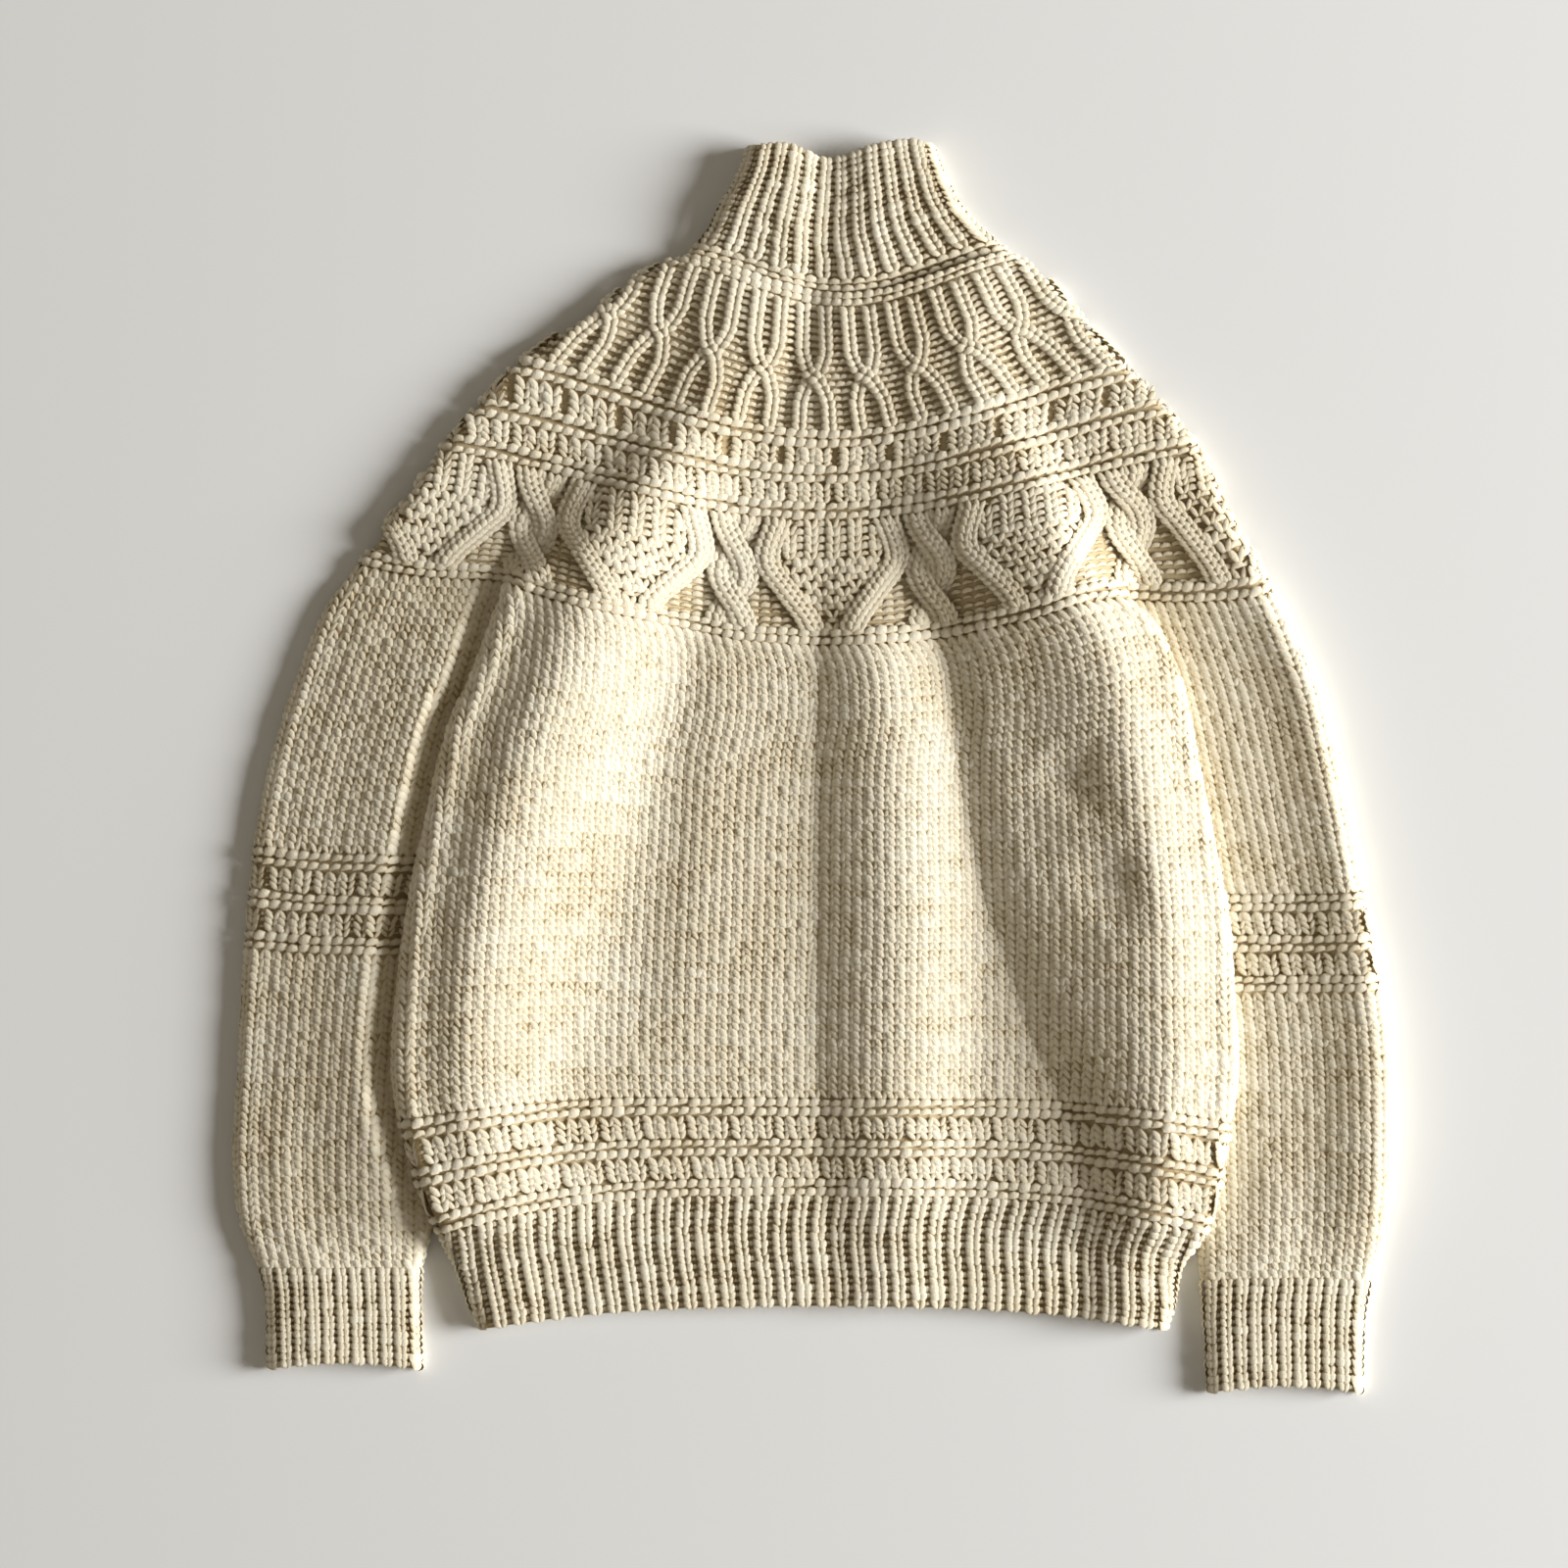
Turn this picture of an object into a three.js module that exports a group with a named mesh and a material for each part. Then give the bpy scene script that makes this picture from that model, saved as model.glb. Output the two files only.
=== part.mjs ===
import * as THREE from 'three';

// A hand-knitted pullover with a ribbed high collar and a round patterned yoke, laid flat on its back.
// Millimetres. X runs across the chest, Y towards the collar, Z up from the surface that it lies on.
// Each piece is a flattened tube: an outer skin with the raised stitch patterns, a plain inner skin,
// and the two ends open. The body lies on the inner edges of the sleeves.

// Cloth and the way that it lies
const CLOTH = 4.0;
const LAYER_GAP = 0.6;
const SEAM = 0.4;
const RIM_BEVEL = 1.6;
const HIDDEN_GAP = 4;
const FOLD_TURN = 9;
const TWO_LAYERS = 2 * CLOTH + LAYER_GAP;
const BODY_LIFT = TWO_LAYERS + 0.9;
const BODY_OVER_SLEEVE = 30;
const LIFT_RAMP = 108;
const LOFT = 3.2;
const LEFT_SLEEVE_LOFT = 4.5;
const RIGHT_SLEEVE_LOFT = 12;
const SLEEVE_EDGE_LOFT = 1;
const LEFT_SLEEVE_RISE = 20;
const RIGHT_SLEEVE_RISE = 80;
const COLLAR_LOFT = 8.5;
const CUFF_LOFT = 3.2;
const LEFT_EDGE_LOFT = 14;
const RIGHT_EDGE_LOFT = 11;
const HEM_EDGE_LOFT = 4;
const EDGE_REACH = 44;

// Stitches: one wale and one row of plain knitting
const WALE = 6.8;
const ROW = 4.45;

// Raised patterns, above the plain cloth
const RIDGE_HEIGHT = 1.5;
const BLOCK_HEIGHT = 1.0;
const RIB_HEIGHT = 2.0;
const SMOCK_HEIGHT = 2.0;
const CABLE_HEIGHT = 2.6;
const SEED_HEIGHT = 0.8;

// Counts of what repeats across the front
const HEM_RIBS = 38;
const CUFF_RIBS = 11;
const COLLAR_RIBS = 13;
const BODY_BLOCKS = 19;
const SLEEVE_BLOCKS = 5;
const UPPER_YOKE_BLOCKS = 12;
const LOWER_YOKE_BLOCKS = 15;
const SMOCK_COLUMNS = 20;
const MOTIFS = 4.05;
const MOTIF_MIDDLE = 0.513;

const BODY_ROWS = 74;
const SLEEVE_ROWS = 90;
const YOKE_ROWS = 48;

// Side edges of the body, from the yoke down to the hem ribbing
const BODY_EDGES = [
  { leftY: 114, left: -186, rightY: 103.4, right: 192 },
  { leftY: 88, left: -195.6, rightY: 87, right: 208.8 },
  { leftY: 57, left: -207, rightY: 57, right: 222.6 },
  { leftY: 27, left: -220.8, rightY: 27, right: 229.8 },
  { leftY: -33, left: -235.2, rightY: -33, right: 241.2 },
  { leftY: -93, left: -247.2, rightY: -93, right: 252.6 },
  { leftY: -153, left: -253.8, rightY: -153, right: 256.8 },
  { leftY: -183, left: -255, rightY: -183, right: 258 },
  { leftY: -213, left: -250.8, rightY: -213, right: 254 },
  { leftY: -261, left: -237, rightY: -261, right: 246 },
  { leftY: -283.3, left: -226.8, rightY: -283.3, right: 238.8 },
];

// Side edges of the hem ribbing
const HEM_EDGES = [
  { leftY: -283.3, left: -226.8, rightY: -283.3, right: 238.8 },
  { leftY: -303, left: -217.2, rightY: -303, right: 224 },
  { leftY: -332, left: -206.4, rightY: -332, right: 219 },
  { leftY: -342, left: -201.6, rightY: -342, right: 215 },
];

// Outer and inner edges of each sleeve and cuff: the inner edge is under the body
const LEFT_SLEEVE_EDGES = [
  { leftY: 124.5, left: -276.6, rightY: 109.4, right: -176 },
  { leftY: 100, left: -295, rightY: 90, right: -178 },
  { leftY: 51, left: -315.6, rightY: 51, right: -186 },
  { leftY: 3, left: -330.6, rightY: 3, right: -198 },
  { leftY: -45, left: -339.6, rightY: -45, right: -208 },
  { leftY: -117, left: -346.2, rightY: -117, right: -220 },
  { leftY: -189, left: -350, rightY: -189, right: -228 },
  { leftY: -237, left: -352.8, rightY: -237, right: -230 },
  { leftY: -278, left: -348, rightY: -278, right: -233 },
  { leftY: -304, left: -337, rightY: -304, right: -240 },
];
const RIGHT_SLEEVE_EDGES = [
  { leftY: 103.2, left: 184, rightY: 107.7, right: 280.8 },
  { leftY: 85, left: 188, rightY: 87, right: 291.6 },
  { leftY: 51, left: 196, rightY: 51, right: 307.2 },
  { leftY: 3, left: 206, rightY: 3, right: 319.2 },
  { leftY: -45, left: 215, rightY: -45, right: 329.4 },
  { leftY: -117, left: 226, rightY: -117, right: 343.2 },
  { leftY: -165, left: 230, rightY: -165, right: 351 },
  { leftY: -237, left: 232, rightY: -237, right: 352.2 },
  { leftY: -285, left: 236, rightY: -285, right: 346.8 },
  { leftY: -312, left: 238.8, rightY: -312, right: 340.8 },
];
const LEFT_CUFF_EDGES = [
  { leftY: -304.3, left: -337, rightY: -304.3, right: -240 },
  { leftY: -321, left: -333, rightY: -321, right: -241.2 },
  { leftY: -366.5, left: -331.8, rightY: -366.5, right: -240 },
];
const RIGHT_CUFF_EDGES = [
  { leftY: -312.3, left: 238.8, rightY: -312.3, right: 340.8 },
  { leftY: -336, left: 240.6, rightY: -336, right: 336 },
  { leftY: -381, left: 243, rightY: -381, right: 334.8 },
];

// Side edges of the collar, from its foot up
const COLLAR_EDGES = [
  { y: 311, left: -75.6, right: 119.4 },
  { y: 324, left: -64.8, right: 104.4 },
  { y: 341, left: -56.4, right: 90 },
  { y: 365, left: -43.8, right: 78.6 },
  { y: 382, left: -38.4, right: 73.2 },
];
const COLLAR_TOP = [
  { f: 0, y: 379.8 },
  { f: 0.2, y: 381.3 },
  { f: 0.43, y: 373.2 },
  { f: 0.7, y: 381 },
  { f: 0.88, y: 383.6 },
  { f: 1, y: 380.4 },
];

// Knitted rounds of the yoke, from the collar down: ends on the shoulder outline, and height at the middle
const YOKE_ROUNDS = [
  { v: 0, leftX: -75.6, leftY: 313.8, rightX: 119.4, rightY: 316.2, middleY: 291 },
  { v: 0.12, leftX: -104, leftY: 302, rightX: 141.6, rightY: 300, middleY: 265 },
  { v: 0.245, leftX: -133.8, leftY: 279, rightX: 160.8, rightY: 277.8, middleY: 238.2 },
  { v: 0.42, leftX: -183, leftY: 245.4, rightX: 196.2, rightY: 241.2, middleY: 200.4 },
  { v: 0.52, leftX: -206.4, leftY: 220.2, rightX: 216.6, rightY: 219.6, middleY: 178.8 },
  { v: 0.635, leftX: -226.2, leftY: 196.2, rightX: 235.8, rightY: 193.8, middleY: 154.2 },
  { v: 0.8, leftX: -250.8, leftY: 161.4, rightX: 252, rightY: 160.2, middleY: 117 },
  { v: 1, leftX: -276.6, leftY: 124.8, rightX: 280.8, rightY: 108, middleY: 75.6 },
];

// The yoke's lower edge, where the body and both sleeves begin
const YOKE_FOOT = [
  { x: -276.6, y: 124.8 },
  { x: -246.6, y: 118.2 },
  { x: -215.4, y: 115.8 },
  { x: -190, y: 114 },
  { x: -166, y: 105.5 },
  { x: -138, y: 97.5 },
  { x: -108, y: 91.8 },
  { x: -81.6, y: 86.4 },
  { x: -40.8, y: 78.5 },
  { x: 3, y: 75.6 },
  { x: 42.6, y: 76.5 },
  { x: 82.8, y: 80.5 },
  { x: 134.4, y: 91 },
  { x: 159.6, y: 99 },
  { x: 184, y: 103.5 },
  { x: 210, y: 102 },
  { x: 240, y: 101.5 },
  { x: 270, y: 104.5 },
  { x: 280.8, y: 108 },
];

// Creases where the body part of the yoke lies over its sleeve parts
const LEFT_CREASE = [
  { y: 225, x: -108, width: 130 },
  { y: 168, x: -154, width: 84 },
  { y: 135, x: -176, width: 64 },
  { y: 114, x: -186, width: 11 },
];
const RIGHT_CREASE = [
  { y: 225, x: 146, width: 90 },
  { y: 168, x: 178, width: 60 },
  { y: 135, x: 187, width: 60 },
  { y: 103.4, x: 192, width: 11 },
];

const FOLDS = {
  leftRidge: [
    { y: 262, x: -54, height: 4, leftWidth: 60, rightWidth: 46 },
    { y: 196, x: -90, height: 12, leftWidth: 90, rightWidth: 60 },
    { y: 140, x: -116, height: 16, leftWidth: 84, rightWidth: 70 },
    { y: 78, x: -142, height: 17, leftWidth: 66, rightWidth: 76 },
    { y: 0, x: -172, height: 18, leftWidth: 66, rightWidth: 85 },
    { y: -119, x: -204, height: 16, leftWidth: 60, rightWidth: 82 },
    { y: -237, x: -208, height: 9, leftWidth: 44, rightWidth: 64 },
    { y: -300, x: -192, height: 2, leftWidth: 30, rightWidth: 40 },
  ],
  middleRidge: [
    { y: 196, x: 28, height: 1, leftWidth: 26, rightWidth: 36 },
    { y: 130, x: 34, height: 2, leftWidth: 28, rightWidth: 40 },
    { y: 100, x: 36, height: 5, leftWidth: 32, rightWidth: 44 },
    { y: 60, x: 40, height: 10, leftWidth: 36, rightWidth: 50 },
    { y: 0, x: 47, height: 13, leftWidth: 44, rightWidth: 54 },
    { y: -119, x: 51, height: 13, leftWidth: 48, rightWidth: 56 },
    { y: -237, x: 51, height: 9, leftWidth: 45, rightWidth: 50 },
    { y: -300, x: 50, height: 4, leftWidth: 36, rightWidth: 38 },
  ],
  rightWall: [
    { y: 236, x: 72, height: 4, leftWidth: 44, rightWidth: 90 },
    { y: 196, x: 86, height: 7, leftWidth: 56, rightWidth: 110 },
    { y: 130, x: 100, height: 12, leftWidth: 50, rightWidth: 140 },
    { y: 78, x: 113, height: 12, leftWidth: 36, rightWidth: 140 },
    { y: -40, x: 133, height: 12, leftWidth: 38, rightWidth: 140 },
    { y: -157, x: 172, height: 12, leftWidth: 40, rightWidth: 100 },
    { y: -236, x: 206, height: 8, leftWidth: 44, rightWidth: 60 },
    { y: -300, x: 206, height: 5, leftWidth: 44, rightWidth: 40 },
  ],
  rightRidge: [
    { y: 270, x: 110, height: 3, leftWidth: 60, rightWidth: 46 },
    { y: 196, x: 152, height: 11, leftWidth: 96, rightWidth: 56 },
    { y: 141, x: 170, height: 14, leftWidth: 110, rightWidth: 60 },
    { y: 57, x: 206, height: 16, leftWidth: 100, rightWidth: 60 },
    { y: 0, x: 220, height: 17, leftWidth: 98, rightWidth: 60 },
    { y: -93, x: 231, height: 16, leftWidth: 92, rightWidth: 60 },
    { y: -180, x: 230, height: 12, leftWidth: 72, rightWidth: 56 },
    { y: -237, x: 220, height: 9, leftWidth: 56, rightWidth: 46 },
    { y: -300, x: 208, height: 4, leftWidth: 44, rightWidth: 36 },
  ],
  sideDent: [
    { y: 24, x: 168, height: 0, leftWidth: 24, rightWidth: 24 },
    { y: -6, x: 156, height: -4.5, leftWidth: 26, rightWidth: 30 },
    { y: -40, x: 178, height: -1, leftWidth: 30, rightWidth: 26 },
    { y: -66, x: 182, height: -5, leftWidth: 34, rightWidth: 24 },
    { y: -104, x: 188, height: 0, leftWidth: 24, rightWidth: 24 },
  ],
  leftDent: [
    { y: 96, x: -74, height: 0, leftWidth: 30, rightWidth: 30 },
    { y: 20, x: -84, height: -2, leftWidth: 40, rightWidth: 30 },
    { y: -120, x: -104, height: -2.4, leftWidth: 44, rightWidth: 34 },
    { y: -200, x: -110, height: 0, leftWidth: 30, rightWidth: 30 },
  ],
  neckHollow: [
    { y: 310, x: 2, height: -2.5, leftWidth: 16, rightWidth: 24 },
    { y: 250, x: -8, height: -2.5, leftWidth: 14, rightWidth: 20 },
    { y: 200, x: -18, height: 0, leftWidth: 12, rightWidth: 16 },
  ],
};

// How sharp the foot of a fold is: 2 is soft, 1 is a plain crease, and less is a steep wall
const FOLD_FEET = {
  middleRidge: { left: 1.05, right: 1.7 },
  rightWall: { left: 1.2, right: 2 },
  rightRidge: { left: 1.6, right: 2 },
};
const SOFT_FOOT = { left: 2, right: 2 };

const SLEEVE_FOLDS = {
  leftRise: [
    { y: 215, x: -150, height: 0, leftWidth: 40, rightWidth: 20 },
    { y: 165, x: -172, height: 0, leftWidth: 60, rightWidth: 30 },
    { y: 120, x: -196, height: 4, leftWidth: 66, rightWidth: 36 },
    { y: 51, x: -218, height: 10, leftWidth: 78, rightWidth: 26 },
    { y: -69, x: -246, height: 10, leftWidth: 74, rightWidth: 26 },
    { y: -189, x: -256, height: 10, leftWidth: 70, rightWidth: 26 },
    { y: -250, x: -256, height: 7, leftWidth: 64, rightWidth: 24 },
    { y: -300, x: -266, height: 0, leftWidth: 40, rightWidth: 24 },
  ],
  rightHollow: [
    { y: 150, x: 236, height: 0, leftWidth: 30, rightWidth: 34 },
    { y: 96, x: 252, height: -3, leftWidth: 34, rightWidth: 36 },
    { y: 20, x: 276, height: -5, leftWidth: 40, rightWidth: 42 },
    { y: -60, x: 288, height: -5, leftWidth: 44, rightWidth: 44 },
    { y: -150, x: 300, height: -5, leftWidth: 44, rightWidth: 42 },
    { y: -250, x: 304, height: -5, leftWidth: 40, rightWidth: 38 },
    { y: -312, x: 300, height: 0, leftWidth: 24, rightWidth: 26 },
  ],
};
const COLLAR_FOLDS = {
  frontHollow: [
    { y: 300, x: 4, height: -3, leftWidth: 24, rightWidth: 26 },
    { y: 345, x: 8, height: -4, leftWidth: 24, rightWidth: 30 },
    { y: 384, x: 10, height: -5, leftWidth: 24, rightWidth: 30 },
  ],
};

const clamp = (value, low, high) => Math.min(high, Math.max(low, value));
const mix = (a, b, t) => a + (b - a) * t;

function smooth(from, to, value) {
  const t = clamp((value - from) / (to - from), 0, 1);
  return t * t * (3 - 2 * t);
}

// A smooth curve through one column of a table, at a place along another column
function read(rows, key, place, column) {
  const rising = rows[rows.length - 1][key] > rows[0][key];
  const at = (i) => rows[clamp(i, 0, rows.length - 1)];
  let i = 0;
  while (i < rows.length - 2 && (rising ? place > rows[i + 1][key] : place < rows[i + 1][key])) i += 1;
  const [a, b, c, d] = [at(i - 1), at(i), at(i + 1), at(i + 2)];
  const span = c[key] - b[key];
  const t = clamp((place - b[key]) / span, 0, 1);
  const slopeB = ((c[column] - a[column]) / (c[key] - a[key] || 1)) * span;
  const slopeC = ((d[column] - b[column]) / (d[key] - b[key] || 1)) * span;
  const t2 = t * t;
  const t3 = t2 * t;
  return (
    (2 * t3 - 3 * t2 + 1) * b[column] +
    (t3 - 2 * t2 + t) * slopeB +
    (3 * t2 - 2 * t3) * c[column] +
    (t3 - t2) * slopeC
  );
}

const yokeFootY = (x) => read(YOKE_FOOT, 'x', x, 'y');

function foldSum(folds, x, y) {
  let sum = 0;
  for (const [name, rows] of Object.entries(folds)) {
    const crest = read(rows, 'y', y, 'x');
    const width = read(rows, 'y', y, x < crest ? 'leftWidth' : 'rightWidth');
    const share = clamp(Math.abs(x - crest) / width, 0, 1);
    const foot = (FOLD_FEET[name] ?? SOFT_FOOT)[x < crest ? 'left' : 'right'];
    sum += read(rows, 'y', y, 'height') * Math.max(Math.cos((Math.PI / 2) * share), 0) ** foot;
  }
  return sum;
}

// Distance inwards from the nearer side edge of the body, which above the body is the crease in the yoke
const TRUNK_EDGES = [...BODY_EDGES, ...HEM_EDGES.slice(1)];

function insideBody(x, y) {
  const top = TRUNK_EDGES[0];
  const left = y > top.leftY ? read(LEFT_CREASE, 'y', y, 'x') : read(TRUNK_EDGES, 'leftY', y, 'left');
  const right = y > top.rightY ? read(RIGHT_CREASE, 'y', y, 'x') : read(TRUNK_EDGES, 'rightY', y, 'right');
  return Math.min(x - left, right - x);
}

const sleeveBeside = (y) => smooth(-300, -272, y) * (1 - smooth(125, 215, y));

// How far the body's under side is lifted by the sleeve below it
function bodyLift(x, y) {
  const reach = 1 - smooth(BODY_OVER_SLEEVE, BODY_OVER_SLEEVE + LIFT_RAMP, insideBody(x, y));
  return BODY_LIFT * sleeveBeside(y) * reach;
}

function bodyTopZ(x, y) {
  const full = smooth(-8, EDGE_REACH, Math.max(insideBody(x, y), 0));
  const edge = mix(HEM_EDGE_LOFT, x < 0 ? LEFT_EDGE_LOFT : RIGHT_EDGE_LOFT, sleeveBeside(y));
  const loft = mix(edge, LOFT + foldSum(FOLDS, x, y), full);
  return TWO_LAYERS + bodyLift(x, y) + loft;
}

function sleeveTopZ(x, y) {
  const onLeft = x < 0;
  const rise = onLeft ? LEFT_SLEEVE_RISE : RIGHT_SLEEVE_RISE;
  const free = mix(smooth(2, rise, -insideBody(x, y)), 1, smooth(110, 190, y));
  const full = mix(onLeft ? LEFT_SLEEVE_LOFT : RIGHT_SLEEVE_LOFT, LOFT, smooth(150, 270, y));
  const loft = mix(CUFF_LOFT, full, smooth(-306, -246, y)) + foldSum(SLEEVE_FOLDS, x, y);
  const fromEdge = onLeft ? x - read(LEFT_SLEEVE_EDGES, 'leftY', y, 'left') : 1000;
  return TWO_LAYERS + free * mix(SLEEVE_EDGE_LOFT, loft, smooth(6, 36, fromEdge));
}

function yokeTopZ(x, y) {
  const crease = x < 0 ? LEFT_CREASE : RIGHT_CREASE;
  const side = x < 0 ? 1 : -1;
  const width = read(crease, 'y', y, 'width');
  const inside = side * (x - read(crease, 'y', y, 'x'));
  const body = smooth(-width * 0.35, width * 0.65, inside);
  return mix(sleeveTopZ(x, y), bodyTopZ(x, y), body);
}

function collarTopZ(x, y) {
  const loft = mix(LOFT, COLLAR_LOFT, smooth(308, 352, y));
  return TWO_LAYERS + loft + foldSum(COLLAR_FOLDS, x, y);
}

const onFloor = () => 0;

// A bar across one row of purl stitches, and a raised block between two of them
function bump(value, from, to) {
  if (value <= from || value >= to) return 0;
  return Math.sin((Math.PI * (value - from)) / (to - from));
}

function plateau(value, from, to, edge) {
  return smooth(from, from + edge, value) * (1 - smooth(to - edge, to, value));
}

// The ladder: pairs of purl rows with two courses of raised blocks between them, counted in rows
const LADDER = { ridges: [0, 5.4, 10.8], courses: [2.8, 8.2], ridgeRows: 2.8, courseRows: 2.6 };

function ladderRelief(row, across) {
  let height = 0;
  for (const start of LADDER.ridges) height += RIDGE_HEIGHT * bump(row, start, start + LADDER.ridgeRows);
  const phase = across - Math.floor(across);
  for (const start of LADDER.courses) {
    const inCourse = plateau(row, start, start + LADDER.courseRows, 0.5);
    height += BLOCK_HEIGHT * inCourse * plateau(phase, 0, 1, 0.18);
  }
  return height;
}

const ribRelief = (across) => {
  const phase = across - Math.floor(across);
  return RIB_HEIGHT * plateau(phase, 0, 1, 0.3);
};

const BODY_LADDER_ROW = 60.8;
const LEFT_SLEEVE_LADDER_ROW = 35.8;
const RIGHT_SLEEVE_LADDER_ROW = 38.7;

function bodyRelief(x, y, f, v) {
  return ladderRelief(v * BODY_ROWS - BODY_LADDER_ROW, f * BODY_BLOCKS);
}

function sleeveRelief(x, y, f, v) {
  const clear = smooth(4, 14, -insideBody(x, y));
  const start = x < 0 ? LEFT_SLEEVE_LADDER_ROW : RIGHT_SLEEVE_LADDER_ROW;
  return clear * ladderRelief(v * SLEEVE_ROWS - start, f * SLEEVE_BLOCKS);
}

// The yoke's zones, counted in rows from the collar
const YOKE_ZONES = {
  collarRidge: { from: 0, to: 2 },
  smocking: { from: 2, knot: 11.7, to: 19 },
  upperRidge: { from: 19, to: 21 },
  upperBlocks: { from: 21, to: 24 },
  middleRidge: { from: 24, to: 26 },
  lowerBlocks: { from: 26, to: 29 },
  lowerRidge: { from: 29, to: 31 },
  cables: { from: 31, to: 46 },
  footRidge: { from: 46, to: 48 },
};

// Smocked columns: straight at both ends, and drawn together in pairs at the knot
function smockRelief(row, f) {
  const place = f * SMOCK_COLUMNS - 0.5;
  const fromPair = Math.abs(place - 2 * Math.round(place / 2));
  const apart = mix(1 / 6, 0.5, smooth(0.4, 5, Math.abs(row - YOKE_ZONES.smocking.knot)));
  return SMOCK_HEIGHT * (1 - smooth(0.08, 0.33, Math.abs(fromPair - apart)));
}

// Motifs: a wedge of seed stitch held by two cable bands that meet at its foot, and a twist between motifs
function cableRelief(row, f) {
  const zone = YOKE_ZONES.cables;
  const down = (row - zone.from) / (zone.to - zone.from);
  const place = (f - MOTIF_MIDDLE) * MOTIFS;
  const away = Math.abs(place - Math.round(place));
  const band = mix(0.3, 0.1, smooth(0.3, 1.05, down));
  const onBand = CABLE_HEIGHT * (1 - smooth(0.03, 0.085, Math.abs(away - band)));
  const seed = SEED_HEIGHT * (1 - smooth(band - 0.05, band, away));
  const twist = 0.5 + 0.035 * Math.sin(down * 2 * Math.PI);
  const onTwist = CABLE_HEIGHT * (1 - smooth(0.03, 0.08, Math.abs(away - twist)));
  return Math.max(onBand, seed, onTwist) * plateau(row, zone.from, zone.to, 0.8);
}

function yokeRelief(x, y, f, v) {
  const row = v * YOKE_ROWS;
  const zones = YOKE_ZONES;
  const { collarRidge, upperRidge, middleRidge, lowerRidge, footRidge } = zones;
  let height = 0;
  for (const zone of [collarRidge, upperRidge, middleRidge, lowerRidge, footRidge]) {
    height += RIDGE_HEIGHT * bump(row, zone.from, zone.to);
  }
  if (row > zones.smocking.from && row < zones.smocking.to) height += smockRelief(row, f);
  if (row > zones.cables.from && row < zones.cables.to) height += cableRelief(row, f);
  const courses = [
    { zone: zones.upperBlocks, across: f * UPPER_YOKE_BLOCKS },
    { zone: zones.lowerBlocks, across: f * LOWER_YOKE_BLOCKS },
  ];
  for (const { zone, across } of courses) {
    const phase = across - Math.floor(across);
    height += BLOCK_HEIGHT * plateau(row, zone.from, zone.to, 0.5) * plateau(phase, 0, 1, 0.25);
  }
  return height;
}

// Lines that run across the garment
const HEM_LINE = { middle: -259.8, ends: -283.2, power: 3.2 };
const HEM_FOOT = { middle: -327.6, ends: -342, power: 2.6 };
const LEFT_WRIST = { middle: -304, ends: -304, power: 2 };
const RIGHT_WRIST = { middle: -310, ends: -312, power: 2 };
const LEFT_CUFF_FOOT = { middle: -362.5, ends: -366.5, power: 2 };
const RIGHT_CUFF_FOOT = { middle: -376.5, ends: -381, power: 2 };
const lineY = (line, f) => mix(line.middle, line.ends, Math.abs(2 * f - 1) ** line.power);

// A piece hung between an upper and a lower line, with its side edges from a table
function hungPiece(edges, upper, lower) {
  const y = (f, v) => mix(upper(f, mix(edges[0].left, edges[0].right, f)), lower(f), v);
  return {
    y,
    left: (v) => read(edges, 'leftY', y(0, v), 'left'),
    right: (v) => read(edges, 'rightY', y(1, v), 'right'),
  };
}

const bodyPlan = hungPiece(BODY_EDGES, (f, x) => yokeFootY(x) - SEAM, (f) => lineY(HEM_LINE, f));
const hemPlan = hungPiece(HEM_EDGES, (f) => lineY(HEM_LINE, f) - SEAM, (f) => lineY(HEM_FOOT, f));

// Where the body hides a sleeve's top edge, that edge stays a little clear of the yoke
const sleeveTopY = (x, hidden) => yokeFootY(x) - SEAM - HIDDEN_GAP * hidden;
const leftSleevePlan = hungPiece(
  LEFT_SLEEVE_EDGES,
  (f, x) => sleeveTopY(x, smooth(-206, -184, x)),
  (f) => lineY(LEFT_WRIST, f),
);
const rightSleevePlan = hungPiece(
  RIGHT_SLEEVE_EDGES,
  (f, x) => sleeveTopY(x, 1 - smooth(190, 212, x)),
  (f) => lineY(RIGHT_WRIST, f),
);
const leftCuffPlan = hungPiece(
  LEFT_CUFF_EDGES,
  (f) => lineY(LEFT_WRIST, f) - SEAM,
  (f) => lineY(LEFT_CUFF_FOOT, f),
);
const rightCuffPlan = hungPiece(
  RIGHT_CUFF_EDGES,
  (f) => lineY(RIGHT_WRIST, f) - SEAM,
  (f) => lineY(RIGHT_CUFF_FOOT, f),
);

// A round of the yoke sags from both shoulders to the middle; its last rows settle onto the yoke's foot
function yokeRoundY(f, v) {
  const ends = mix(read(YOKE_ROUNDS, 'v', v, 'leftY'), read(YOKE_ROUNDS, 'v', v, 'rightY'), f);
  const middle = mix(read(YOKE_ROUNDS, 'v', v, 'leftY'), read(YOKE_ROUNDS, 'v', v, 'rightY'), 0.5);
  const sag = read(YOKE_ROUNDS, 'v', v, 'middleY') - middle;
  return ends + sag * Math.cos((Math.PI * (2 * f - 1)) / 2) ** 1.4;
}
const yokePlan = {
  left: (v) => read(YOKE_ROUNDS, 'v', v, 'leftX'),
  right: (v) => read(YOKE_ROUNDS, 'v', v, 'rightX'),
  y: (f, v) => {
    const footX = mix(YOKE_FOOT[0].x, YOKE_FOOT[YOKE_FOOT.length - 1].x, f);
    return yokeRoundY(f, v) + smooth(0.7, 1, v) * (yokeFootY(footX) - yokeRoundY(f, 1));
  },
};

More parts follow.
